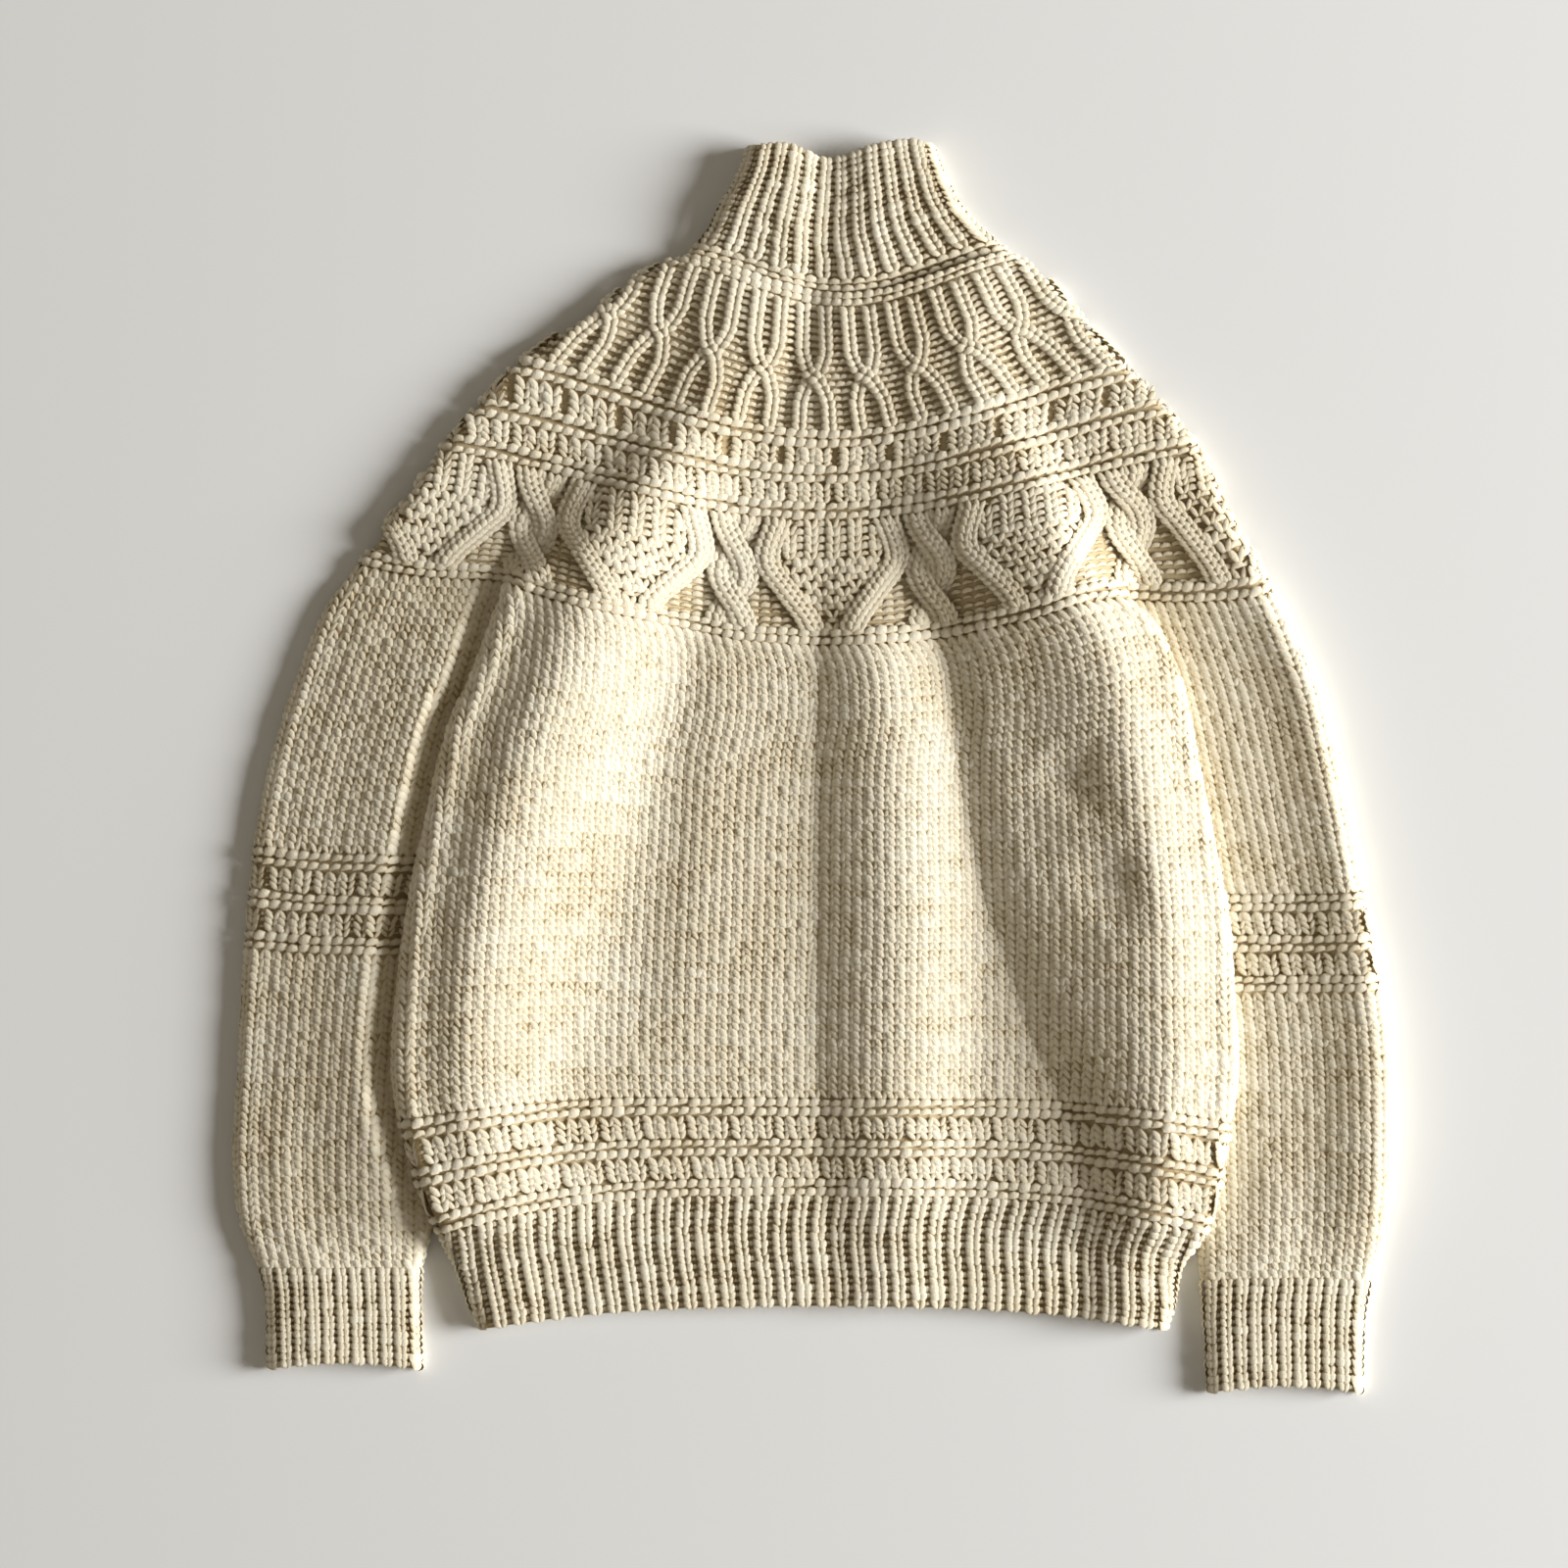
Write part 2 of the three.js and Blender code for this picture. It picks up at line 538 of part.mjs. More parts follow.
// The collar stands from the yoke's first round to its own top edge
const collarPlan = {
  y: (f, v) => mix(yokeRoundY(f, 0) + SEAM, read(COLLAR_TOP, 'f', f, 'y'), v),
  left: (v) => read(COLLAR_EDGES, 'y', mix(COLLAR_EDGES[0].y, 382, v), 'left'),
  right: (v) => read(COLLAR_EDGES, 'y', mix(COLLAR_EDGES[0].y, 382, v), 'right'),
};

// Around a piece, q runs along the upper layer, round the right fold, back along the lower layer, and round
// the left fold. An inset of zero is the outer skin, and the cloth's thickness is the inner one.
const UPPER = [0, 0.4];
const RIGHT_FOLD = [0.4, 0.5];
const LOWER = [0.5, 0.9];

function sectionPoint(piece, q, v, inset) {
  const left = piece.plan.left(v);
  const right = piece.plan.right(v);
  const turn = FOLD_TURN;
  const place = (x, z) => {
    const f = (x - left) / (right - left);
    return [x, piece.plan.y(f, v), z];
  };
  const flatX = (t) => mix(left + turn, right - turn, t);
  const heights = (x) => {
    const y = piece.plan.y((x - left) / (right - left), v);
    return { top: piece.topZ(x, y), foot: piece.footZ(x, y), y };
  };
  if (q <= UPPER[1]) {
    const x = flatX(q / UPPER[1]);
    const { top, y } = heights(x);
    const raised = inset > 0 ? 0 : piece.relief(x, y, (x - left) / (right - left), v);
    return place(x, top - inset + raised);
  }
  if (q >= LOWER[0] && q <= LOWER[1]) {
    const x = flatX(1 - (q - LOWER[0]) / (LOWER[1] - LOWER[0]));
    return place(x, heights(x).foot + inset);
  }
  const onRight = q < LOWER[0];
  const share = onRight ? (q - RIGHT_FOLD[0]) / 0.1 : 1 - (q - LOWER[1]) / 0.1;
  const angle = Math.PI * share;
  const hinge = onRight ? right - turn : left + turn;
  const { top, foot } = heights(hinge);
  const half = (top - foot) / 2 - inset;
  const reach = (turn - inset) * Math.sin(angle) * (onRight ? 1 : -1);
  return place(hinge + reach, (top + foot) / 2 + half * Math.cos(angle));
}

const steps = (from, to, count) => Array.from({ length: count + 1 }, (_, i) => mix(from, to, i / count));

// Places around a piece: those along the upper layer are given as shares, and the folds are rounded
function around(upperShares, lowerCount, foldCount) {
  const upper = upperShares.map((t) => t * UPPER[1]);
  const rightFold = steps(RIGHT_FOLD[0], RIGHT_FOLD[1], foldCount);
  const lower = steps(LOWER[0], LOWER[1], lowerCount);
  const leftFold = steps(LOWER[1], 1, foldCount);
  return [...new Set([...upper, ...rightFold, ...lower, ...leftFold].map((q) => +q.toFixed(7)))]
    .filter((q) => q < 1)
    .sort((a, b) => a - b);
}

const evenShares = (count) => steps(0, 1, count);

// Rows of an inner skin, whose ends are drawn in from the rim
const innerSteps = (count, length) => steps(RIM_BEVEL / length, 1 - RIM_BEVEL / length, count);

// Three places to each rib or block: its valley, and both corners of its raised form
function ribShares(count, corners) {
  const shares = [0, 1];
  for (let i = 0; i < count; i += 1) corners.forEach((corner) => shares.push((i + corner) / count));
  return shares.sort((a, b) => a - b);
}

function zip(outer, inner, flip, indices) {
  const add = (a, b, c) => (flip ? indices.push(a, c, b) : indices.push(a, b, c));
  let i = 0;
  let j = 0;
  const outerAt = (n) => outer.at[n] ?? 1 + outer.at[0];
  const innerAt = (n) => inner.at[n] ?? 1 + inner.at[0];
  while (i < outer.ids.length || j < inner.ids.length) {
    const o = outer.ids[i % outer.ids.length];
    const n = inner.ids[j % inner.ids.length];
    const outerNext = i < outer.ids.length && (j >= inner.ids.length || outerAt(i + 1) <= innerAt(j + 1));
    if (outerNext) {
      add(outer.ids[(i + 1) % outer.ids.length], o, n);
      i += 1;
    } else {
      add(n, inner.ids[(j + 1) % inner.ids.length], o);
      j += 1;
    }
  }
}

function skin(piece, places, rows, inset, positions, indices, inward) {
  const first = positions.length / 3;
  rows.forEach((v) => places.forEach((q) => positions.push(...sectionPoint(piece, q, v, inset))));
  const id = (i, j) => first + j * places.length + (i % places.length);
  for (let j = 0; j < rows.length - 1; j += 1) {
    for (let i = 0; i < places.length; i += 1) {
      const [a, b, c, d] = [id(i, j), id(i + 1, j), id(i + 1, j + 1), id(i, j + 1)];
      if (inward) indices.push(a, c, b, a, d, c);
      else indices.push(a, b, c, a, c, d);
    }
  }
  const ring = (j) => ({ ids: places.map((_, i) => id(i, j)), at: places });
  return { first: ring(0), last: ring(rows.length - 1) };
}

function signedVolume(positions, indices) {
  let sum = 0;
  const point = (n) => new THREE.Vector3(...positions.slice(3 * n, 3 * n + 3));
  for (let i = 0; i < indices.length; i += 3) {
    sum += point(indices[i]).dot(point(indices[i + 1]).cross(point(indices[i + 2])));
  }
  return sum;
}

// A flattened tube with open ends: outer skin, inner skin, and a rim of cloth at each end
function knittedTube(piece) {
  const positions = [];
  const indices = [];
  const outer = skin(piece, piece.outerPlaces, piece.outerRows, 0, positions, indices, false);
  const inner = skin(piece, piece.innerPlaces, piece.innerRows, CLOTH, positions, indices, true);
  zip(outer.first, inner.first, false, indices);
  zip(outer.last, inner.last, true, indices);
  if (signedVolume(positions, indices) < 0) {
    for (let i = 0; i < indices.length; i += 3) [indices[i], indices[i + 1]] = [indices[i + 1], indices[i]];
  }
  const geometry = new THREE.BufferGeometry();
  geometry.setAttribute('position', new THREE.Float32BufferAttribute(positions, 3));
  geometry.setIndex(indices);
  geometry.computeVertexNormals();
  return geometry;
}

const BLOCK_CORNERS = [0, 0.18, 0.82];
const RIB_CORNERS = [0, 0.3, 0.7];

// Rows at which a ladder changes height, as shares of a piece's rows
function ladderRows(start, rows) {
  const shares = [];
  for (const ridge of LADDER.ridges) {
    shares.push(ridge, ridge + 0.5 * LADDER.ridgeRows, ridge + LADDER.ridgeRows);
  }
  for (const course of LADDER.courses) {
    shares.push(course + 0.6, course + LADDER.courseRows - 0.6);
  }
  return shares.map((row) => Math.min((start + row) / rows, 1));
}

const sorted = (values) => [...new Set(values.map((v) => +v.toFixed(6)))].sort((a, b) => a - b);

const bodyRows = sorted([
  ...steps(0, BODY_LADDER_ROW / BODY_ROWS, 7),
  ...ladderRows(BODY_LADDER_ROW, BODY_ROWS),
]);
const LADDER_LENGTH = 13.6;
const sleeveRows = (start) =>
  sorted([
    ...steps(0, start / SLEEVE_ROWS, 4),
    ...ladderRows(start, SLEEVE_ROWS),
    ...steps((start + LADDER_LENGTH) / SLEEVE_ROWS, 1, 4),
  ]);
const yokeRowStops = [0, 1, 2, 6, 9, 11.7, 14.4, 17, 19, 20, 21, 21.6, 23.4, 24, 25, 26, 26.6, 28.4];
const cableRowStops = [29, 30, 31, 32, 35, 38.5, 42, 45, 46, 47, 48];
const yokeRows = sorted([...yokeRowStops, ...cableRowStops].map((row) => row / YOKE_ROWS));

const PIECES = {
  yoke: {
    plan: yokePlan,
    topZ: yokeTopZ,
    footZ: onFloor,
    relief: yokeRelief,
    outerPlaces: around(evenShares(3 * SMOCK_COLUMNS), 8, 4),
    outerRows: yokeRows,
    innerPlaces: around(evenShares(28), 8, 4),
    innerRows: innerSteps(8, 200),
  },
  body: {
    plan: bodyPlan,
    topZ: bodyTopZ,
    footZ: bodyLift,
    relief: bodyRelief,
    outerPlaces: around(ribShares(BODY_BLOCKS, BLOCK_CORNERS), 12, 5),
    outerRows: bodyRows,
    innerPlaces: around(evenShares(34), 12, 4),
    innerRows: innerSteps(7, 340),
  },
  hem_ribbing: {
    plan: hemPlan,
    topZ: bodyTopZ,
    footZ: bodyLift,
    relief: (x, y, f) => ribRelief(f * HEM_RIBS),
    outerPlaces: around(ribShares(HEM_RIBS, RIB_CORNERS), 10, 4),
    outerRows: steps(0, 1, 2),
    innerPlaces: around(evenShares(30), 10, 4),
    innerRows: innerSteps(2, 60),
  },
  collar: {
    plan: collarPlan,
    topZ: collarTopZ,
    footZ: onFloor,
    relief: (x, y, f) => ribRelief(f * COLLAR_RIBS),
    outerPlaces: around(ribShares(COLLAR_RIBS, RIB_CORNERS), 8, 4),
    outerRows: steps(0, 1, 5),
    innerPlaces: around(evenShares(12), 6, 4),
    innerRows: innerSteps(3, 80),
  },
};

for (const [side, sleevePlan, cuffPlan, ladderStart] of [
  ['left', leftSleevePlan, leftCuffPlan, LEFT_SLEEVE_LADDER_ROW],
  ['right', rightSleevePlan, rightCuffPlan, RIGHT_SLEEVE_LADDER_ROW],
]) {
  PIECES[`sleeve_${side}`] = {
    plan: sleevePlan,
    topZ: sleeveTopZ,
    footZ: onFloor,
    relief: sleeveRelief,
    outerPlaces: around(ribShares(SLEEVE_BLOCKS, BLOCK_CORNERS), 8, 5),
    outerRows: sleeveRows(ladderStart),
    innerPlaces: around(evenShares(7), 5, 4),
    innerRows: innerSteps(7, 400),
  };
  PIECES[`cuff_${side}`] = {
    plan: cuffPlan,
    topZ: sleeveTopZ,
    footZ: onFloor,
    relief: (x, y, f) => ribRelief(f * CUFF_RIBS),
    outerPlaces: around(ribShares(CUFF_RIBS, RIB_CORNERS), 4, 4),
    outerRows: steps(0, 1, 2),
    innerPlaces: around(evenShares(6), 4, 4),
    innerRows: innerSteps(2, 60),
  };
}

// The origin is on the surface, below the middle of the whole outline
const MIDDLE = { x: 0.1, y: 1.3 };

const sweater = new THREE.Group();
for (const [name, piece] of Object.entries(PIECES)) {
  const wool = new THREE.MeshStandardMaterial({ color: 0xe3dac3, roughness: 0.95, metalness: 0 });
  const mesh = new THREE.Mesh(knittedTube(piece), wool);
  mesh.name = name;
  mesh.position.set(-MIDDLE.x, -MIDDLE.y, 0);
  sweater.add(mesh);
}

export default sweater;
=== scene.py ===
import math

import bpy
import numpy as np
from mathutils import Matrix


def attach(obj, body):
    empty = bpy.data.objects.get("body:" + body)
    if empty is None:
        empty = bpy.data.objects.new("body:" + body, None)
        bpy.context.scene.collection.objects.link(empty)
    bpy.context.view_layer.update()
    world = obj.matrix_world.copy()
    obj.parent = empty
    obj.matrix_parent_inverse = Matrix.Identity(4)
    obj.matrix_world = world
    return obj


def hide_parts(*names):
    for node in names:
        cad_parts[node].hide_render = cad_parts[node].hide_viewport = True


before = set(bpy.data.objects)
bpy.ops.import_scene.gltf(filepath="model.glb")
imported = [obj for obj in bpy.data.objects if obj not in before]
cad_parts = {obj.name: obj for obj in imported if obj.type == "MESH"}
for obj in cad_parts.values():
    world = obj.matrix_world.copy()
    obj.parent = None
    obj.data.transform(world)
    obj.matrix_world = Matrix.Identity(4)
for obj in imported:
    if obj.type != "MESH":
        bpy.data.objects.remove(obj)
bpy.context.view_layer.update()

# Sizes are in millimetres, as the pieces are cut, and become metres when a mesh is made.
MM = 0.001
MIDDLE = (0.1, 1.3)

# Cloth and the way that it lies
CLOTH = 4.0
LAYER_GAP = 0.6
SEAM = 0.4
FOLD_TURN = 9.0
FOLD_LENGTH = 26.0
TWO_LAYERS = 2 * CLOTH + LAYER_GAP
BODY_LIFT = TWO_LAYERS + 0.9
BODY_OVER_SLEEVE = 30.0
LIFT_RAMP = 108.0
LOFT = 3.2
LEFT_SLEEVE_LOFT = 4.5
RIGHT_SLEEVE_LOFT = 12.0
SLEEVE_EDGE_LOFT = 1.0
COLLAR_LOFT = 8.5
CUFF_LOFT = 3.2
LEFT_EDGE_LOFT = 14.0
RIGHT_EDGE_LOFT = 11.0
HEM_EDGE_LOFT = 4.0
LEFT_SLEEVE_RISE = 20.0
RIGHT_SLEEVE_RISE = 80.0
LOWEST = 0.1
LOWEST_YARN = 0.15
UNDERSIDE = 0.3
# Where one height passes into another: start and end of each change, along y or from an edge
BODY_EDGE_CHANGE = (-8, 44)
SLEEVE_EDGE_CHANGE = (6, 36)
SLEEVE_RISE_FROM = 2
BESIDE_HEM_CHANGE = (-300, -272)
BESIDE_YOKE_CHANGE = (125, 215)
WRIST_CHANGE = (-306, -246)
SHOULDER_FREE_CHANGE = (110, 190)
SHOULDER_LOFT_CHANGE = (150, 270)
COLLAR_CHANGE = (308, 352)
CREASE_ON_SLEEVE = 0.35
NOT_BY_AN_EDGE = 1000.0

# Stitches
BODY_ROWS = 74
SLEEVE_ROWS = 90
YOKE_ROWS = 48
HEM_ROWS = 15
CUFF_ROWS = 14
COLLAR_ROWS = 20
COLLAR_COLUMNS = 13.2
COLLAR_SIDE = 13.0
GARTER_ROWS = 2
YARN = 1.5
BODY_LADDER_ROW = 60.8
SLEEVE_LADDER_ROWS = {"sleeve_left": 35.8, "sleeve_right": 38.7}


# Tables: a row for each place, under the names of its columns
def table(columns, *rows):
    return [dict(zip(columns.split(), row)) for row in rows]


EDGES = "leftY left rightY right"
FOLD = "y x height leftWidth rightWidth"

# Outlines, as seen from above
BODY_EDGES = table(
    EDGES,
    (114, -186, 103.4, 192),
    (88, -195.6, 87, 208.8),
    (57, -207, 57, 222.6),
    (27, -220.8, 27, 229.8),
    (-33, -235.2, -33, 241.2),
    (-93, -247.2, -93, 252.6),
    (-153, -253.8, -153, 256.8),
    (-183, -255, -183, 258),
    (-213, -250.8, -213, 254),
    (-261, -237, -261, 246),
    (-283.3, -226.8, -283.3, 238.8),
)
HEM_EDGES = table(
    EDGES,
    (-283.3, -226.8, -283.3, 238.8),
    (-303, -217.2, -303, 224),
    (-332, -206.4, -332, 219),
    (-342, -201.6, -342, 215),
)
TRUNK_EDGES = BODY_EDGES + HEM_EDGES[1:]
LEFT_SLEEVE_EDGES = table(
    EDGES,
    (124.5, -276.6, 109.4, -176),
    (100, -295, 90, -178),
    (51, -315.6, 51, -186),
    (3, -330.6, 3, -198),
    (-45, -339.6, -45, -208),
    (-117, -346.2, -117, -220),
    (-189, -350, -189, -228),
    (-237, -352.8, -237, -230),
    (-278, -348, -278, -233),
    (-304, -337, -304, -240),
)
RIGHT_SLEEVE_EDGES = table(
    EDGES,
    (103.2, 184, 107.7, 280.8),
    (85, 188, 87, 291.6),
    (51, 196, 51, 307.2),
    (3, 206, 3, 319.2),
    (-45, 215, -45, 329.4),
    (-117, 226, -117, 343.2),
    (-165, 230, -165, 351),
    (-237, 232, -237, 352.2),
    (-285, 236, -285, 346.8),
    (-312, 238.8, -312, 340.8),
)
LEFT_CUFF_EDGES = table(
    EDGES,
    (-304.3, -337, -304.3, -240),
    (-321, -333, -321, -241.2),
    (-366.5, -331.8, -366.5, -240),
)
RIGHT_CUFF_EDGES = table(
    EDGES,
    (-312.3, 238.8, -312.3, 340.8),
    (-336, 240.6, -336, 336),
    (-381, 243, -381, 334.8),
)
COLLAR_EDGES = table(
    "y left right",
    (311, -75.6, 119.4),
    (324, -64.8, 104.4),
    (341, -56.4, 90),
    (365, -43.8, 78.6),
    (382, -38.4, 73.2),
)
COLLAR_TOP = table(
    "f y",
    (0, 379.8),
    (0.2, 381.3),
    (0.43, 373.2),
    (0.7, 381),
    (0.88, 383.6),
    (1, 380.4),
)
YOKE_ROUNDS = table(
    "v leftX leftY rightX rightY middleY",
    (0, -75.6, 313.8, 119.4, 316.2, 291),
    (0.12, -104, 302, 141.6, 300, 265),
    (0.245, -133.8, 279, 160.8, 277.8, 238.2),
    (0.42, -183, 245.4, 196.2, 241.2, 200.4),
    (0.52, -206.4, 220.2, 216.6, 219.6, 178.8),
    (0.635, -226.2, 196.2, 235.8, 193.8, 154.2),
    (0.8, -250.8, 161.4, 252, 160.2, 117),
    (1, -276.6, 124.8, 280.8, 108, 75.6),
)
YOKE_FOOT = table(
    "x y",
    (-276.6, 124.8),
    (-246.6, 118.2),
    (-215.4, 115.8),
    (-190, 114),
    (-166, 105.5),
    (-138, 97.5),
    (-108, 91.8),
    (-81.6, 86.4),
    (-40.8, 78.5),
    (3, 75.6),
    (42.6, 76.5),
    (82.8, 80.5),
    (134.4, 91),
    (159.6, 99),
    (184, 103.5),
    (210, 102),
    (240, 101.5),
    (270, 104.5),
    (280.8, 108),
)
# Creases beside the body, with how wide each one is
LEFT_CREASE = table(
    "y x width",
    (225, -108, 130),
    (168, -154, 84),
    (135, -176, 64),
    (114, -186, 11),
)
RIGHT_CREASE = table(
    "y x width",
    (225, 146, 90),
    (168, 178, 60),
    (135, 187, 60),
    (103.4, 192, 11),
)
# Folds: where each crest lies, how high it is, and how wide on either side
FOLDS = {
    "leftRidge": table(
        FOLD,
        (262, -54, 4, 60, 46),
        (196, -90, 12, 90, 60),
        (140, -116, 16, 84, 70),
        (78, -142, 17, 66, 76),
        (0, -172, 18, 66, 85),
        (-119, -204, 16, 60, 82),
        (-237, -208, 9, 44, 64),
        (-300, -192, 2, 30, 40),
    ),
    "middleRidge": table(
        FOLD,
        (196, 28, 1, 26, 36),
        (130, 34, 2, 28, 40),
        (100, 36, 5, 32, 44),
        (60, 40, 10, 36, 50),
        (0, 47, 13, 44, 54),
        (-119, 51, 13, 48, 56),
        (-237, 51, 9, 45, 50),
        (-300, 50, 4, 36, 38),
    ),
    "rightWall": table(
        FOLD,
        (236, 72, 4, 44, 90),
        (196, 86, 7, 56, 110),
        (130, 100, 12, 50, 140),
        (78, 113, 12, 36, 140),
        (-40, 133, 12, 38, 140),
        (-157, 172, 12, 40, 100),
        (-236, 206, 8, 44, 60),
        (-300, 206, 5, 44, 40),
    ),
    "rightRidge": table(
        FOLD,
        (270, 110, 3, 60, 46),
        (196, 152, 11, 96, 56),
        (141, 170, 14, 110, 60),
        (57, 206, 16, 100, 60),
        (0, 220, 17, 98, 60),
        (-93, 231, 16, 92, 60),
        (-180, 230, 12, 72, 56),
        (-237, 220, 9, 56, 46),
        (-300, 208, 4, 44, 36),
    ),
    "sideDent": table(
        FOLD,
        (24, 168, 0, 24, 24),
        (-6, 156, -4.5, 26, 30),
        (-40, 178, -1, 30, 26),
        (-66, 182, -5, 34, 24),
        (-104, 188, 0, 24, 24),
    ),
    "leftDent": table(
        FOLD,
        (96, -74, 0, 30, 30),
        (20, -84, -2, 40, 30),
        (-120, -104, -2.4, 44, 34),
        (-200, -110, 0, 30, 30),
    ),
    "neckHollow": table(
        FOLD,
        (310, 2, -2.5, 16, 24),
        (250, -8, -2.5, 14, 20),
        (200, -18, 0, 12, 16),
    ),
}
# How sharp the foot of a fold is: 2 is soft, 1 is a plain crease, and less is a steep wall
FOLD_FEET = {
    "middleRidge": {"left": 1.05, "right": 1.7},
    "rightWall": {"left": 1.2, "right": 2},
    "rightRidge": {"left": 1.6, "right": 2},
}
SOFT_FOOT = {"left": 2, "right": 2}
SLEEVE_FOLDS = {
    "leftRise": table(
        FOLD,
        (215, -150, 0, 40, 20),
        (165, -172, 0, 60, 30),
        (120, -196, 4, 66, 36),
        (51, -218, 10, 78, 26),
        (-69, -246, 10, 74, 26),
        (-189, -256, 10, 70, 26),
        (-250, -256, 7, 64, 24),
        (-300, -266, 0, 40, 24),
    ),
    "rightHollow": table(
        FOLD,
        (150, 236, 0, 30, 34),
        (96, 252, -3, 34, 36),
        (20, 276, -5, 40, 42),
        (-60, 288, -5, 44, 44),
        (-150, 300, -5, 44, 42),
        (-250, 304, -5, 40, 38),
        (-312, 300, 0, 24, 26),
    ),
}
COLLAR_FOLDS = {
    "frontHollow": table(
        FOLD,
        (300, 4, -3, 24, 26),
        (345, 8, -4, 24, 30),
        (384, 10, -5, 24, 30),
    ),
}

random = np.random.default_rng(11)


def smooth(start, end, value):
    t = np.clip((value - start) / (end - start), 0, 1)
    return t * t * (3 - 2 * t)


def mix(a, b, t):
    return a + (b - a) * t


# A smooth curve through one column of a table, at places along another column
def read(rows, key, place, column):
    keys = np.array([row[key] for row in rows], float)
    values = np.array([row[column] for row in rows], float)
    if keys[-1] < keys[0]:
        keys, values = keys[::-1], values[::-1]
    place = np.asarray(place, float)
    last = len(keys) - 1
    i = np.clip(np.searchsorted(keys, place, side="right") - 1, 0, last - 1)
    before, after = np.maximum(i - 1, 0), np.minimum(i + 2, last)
    span = keys[i + 1] - keys[i]
    t = np.clip((place - keys[i]) / span, 0, 1)
    slope_b = (values[i + 1] - values[before]) / (keys[i + 1] - keys[before]) * span
    slope_c = (values[after] - values[i]) / (keys[after] - keys[i]) * span
    t2, t3 = t * t, t * t * t
    return (
        (2 * t3 - 3 * t2 + 1) * values[i]
        + (t3 - 2 * t2 + t) * slope_b
        + (3 * t2 - 2 * t3) * values[i + 1]
        + (t3 - t2) * slope_c
    )


def fold_sum(folds, x, y):
    total = np.zeros(np.broadcast(x, y).shape)
    for name, rows in folds.items():
        foot = FOLD_FEET.get(name, SOFT_FOOT)
        crest = read(rows, "y", y, "x")
        on_left = x < crest
        width = np.where(
            on_left, read(rows, "y", y, "leftWidth"), read(rows, "y", y, "rightWidth")
        )
        share = np.clip(np.abs(x - crest) / width, 0, 1)
        form = np.cos(math.pi / 2 * share) ** np.where(on_left, foot["left"], foot["right"])
        total = total + read(rows, "y", y, "height") * form
    return total


def inside_body(x, y):
    top = TRUNK_EDGES[0]
    left = np.where(
        y > top["leftY"], read(LEFT_CREASE, "y", y, "x"), read(TRUNK_EDGES, "leftY", y, "left")
    )
    right = np.where(
        y > top["rightY"], read(RIGHT_CREASE, "y", y, "x"), read(TRUNK_EDGES, "rightY", y, "right")
    )
    return np.minimum(x - left, right - x)


def sleeve_beside(y):
    return smooth(*BESIDE_HEM_CHANGE, y) * (1 - smooth(*BESIDE_YOKE_CHANGE, y))


def body_lift(x, y):
    reach = 1 - smooth(BODY_OVER_SLEEVE, BODY_OVER_SLEEVE + LIFT_RAMP, inside_body(x, y))
    return BODY_LIFT * sleeve_beside(y) * reach


def body_top(x, y):
    full = smooth(*BODY_EDGE_CHANGE, np.maximum(inside_body(x, y), 0))
    edge = mix(HEM_EDGE_LOFT, np.where(x < 0, LEFT_EDGE_LOFT, RIGHT_EDGE_LOFT), sleeve_beside(y))
    return TWO_LAYERS + body_lift(x, y) + mix(edge, LOFT + fold_sum(FOLDS, x, y), full)


def sleeve_top(x, y):
    on_left = x < 0
    rise = np.where(on_left, LEFT_SLEEVE_RISE, RIGHT_SLEEVE_RISE)
    beside_body = smooth(SLEEVE_RISE_FROM, rise, -inside_body(x, y))
    free = mix(beside_body, 1, smooth(*SHOULDER_FREE_CHANGE, y))
    full = np.where(on_left, LEFT_SLEEVE_LOFT, RIGHT_SLEEVE_LOFT)
    full = mix(full, LOFT, smooth(*SHOULDER_LOFT_CHANGE, y))
    loft = mix(CUFF_LOFT, full, smooth(*WRIST_CHANGE, y)) + fold_sum(SLEEVE_FOLDS, x, y)
    edge = read(LEFT_SLEEVE_EDGES, "leftY", y, "left")
    from_edge = np.where(on_left, x - edge, NOT_BY_AN_EDGE)
    return TWO_LAYERS + free * mix(SLEEVE_EDGE_LOFT, loft, smooth(*SLEEVE_EDGE_CHANGE, from_edge))


def yoke_top(x, y):
    on_left = x < 0

    def crease(column):
        return np.where(
            on_left, read(LEFT_CREASE, "y", y, column), read(RIGHT_CREASE, "y", y, column)
        )

    width = crease("width")
    inside = np.where(on_left, x - crease("x"), crease("x") - x)
    on_body = smooth(-width * CREASE_ON_SLEEVE, width * (1 - CREASE_ON_SLEEVE), inside)
    return mix(sleeve_top(x, y), body_top(x, y), on_body)


def collar_top(x, y):
    loft = mix(LOFT, COLLAR_LOFT, smooth(*COLLAR_CHANGE, y))
    return TWO_LAYERS + loft + fold_sum(COLLAR_FOLDS, x, y)


def on_floor(x, y):
    return np.zeros(np.broadcast(x, y).shape)


# Lines across the pieces' ends: the height at the middle and at both ends, and how fast they bend
HEM_LINE = {"middle": -259.8, "ends": -283.2, "power": 3.2}
HEM_FOOT = {"middle": -327.6, "ends": -342, "power": 2.6}
LEFT_WRIST = {"middle": -304, "ends": -304, "power": 2}
RIGHT_WRIST = {"middle": -310, "ends": -312, "power": 2}
LEFT_CUFF_FOOT = {"middle": -362.5, "ends": -366.5, "power": 2}
RIGHT_CUFF_FOOT = {"middle": -376.5, "ends": -381, "power": 2}
YOKE_BEND = 1.4
YOKE_SETTLES_FROM = 0.7


def line_y(line, f):
    return mix(line["middle"], line["ends"], np.abs(2 * f - 1) ** line["power"])


def yoke_foot_y(x):
    return read(YOKE_FOOT, "x", x, "y")


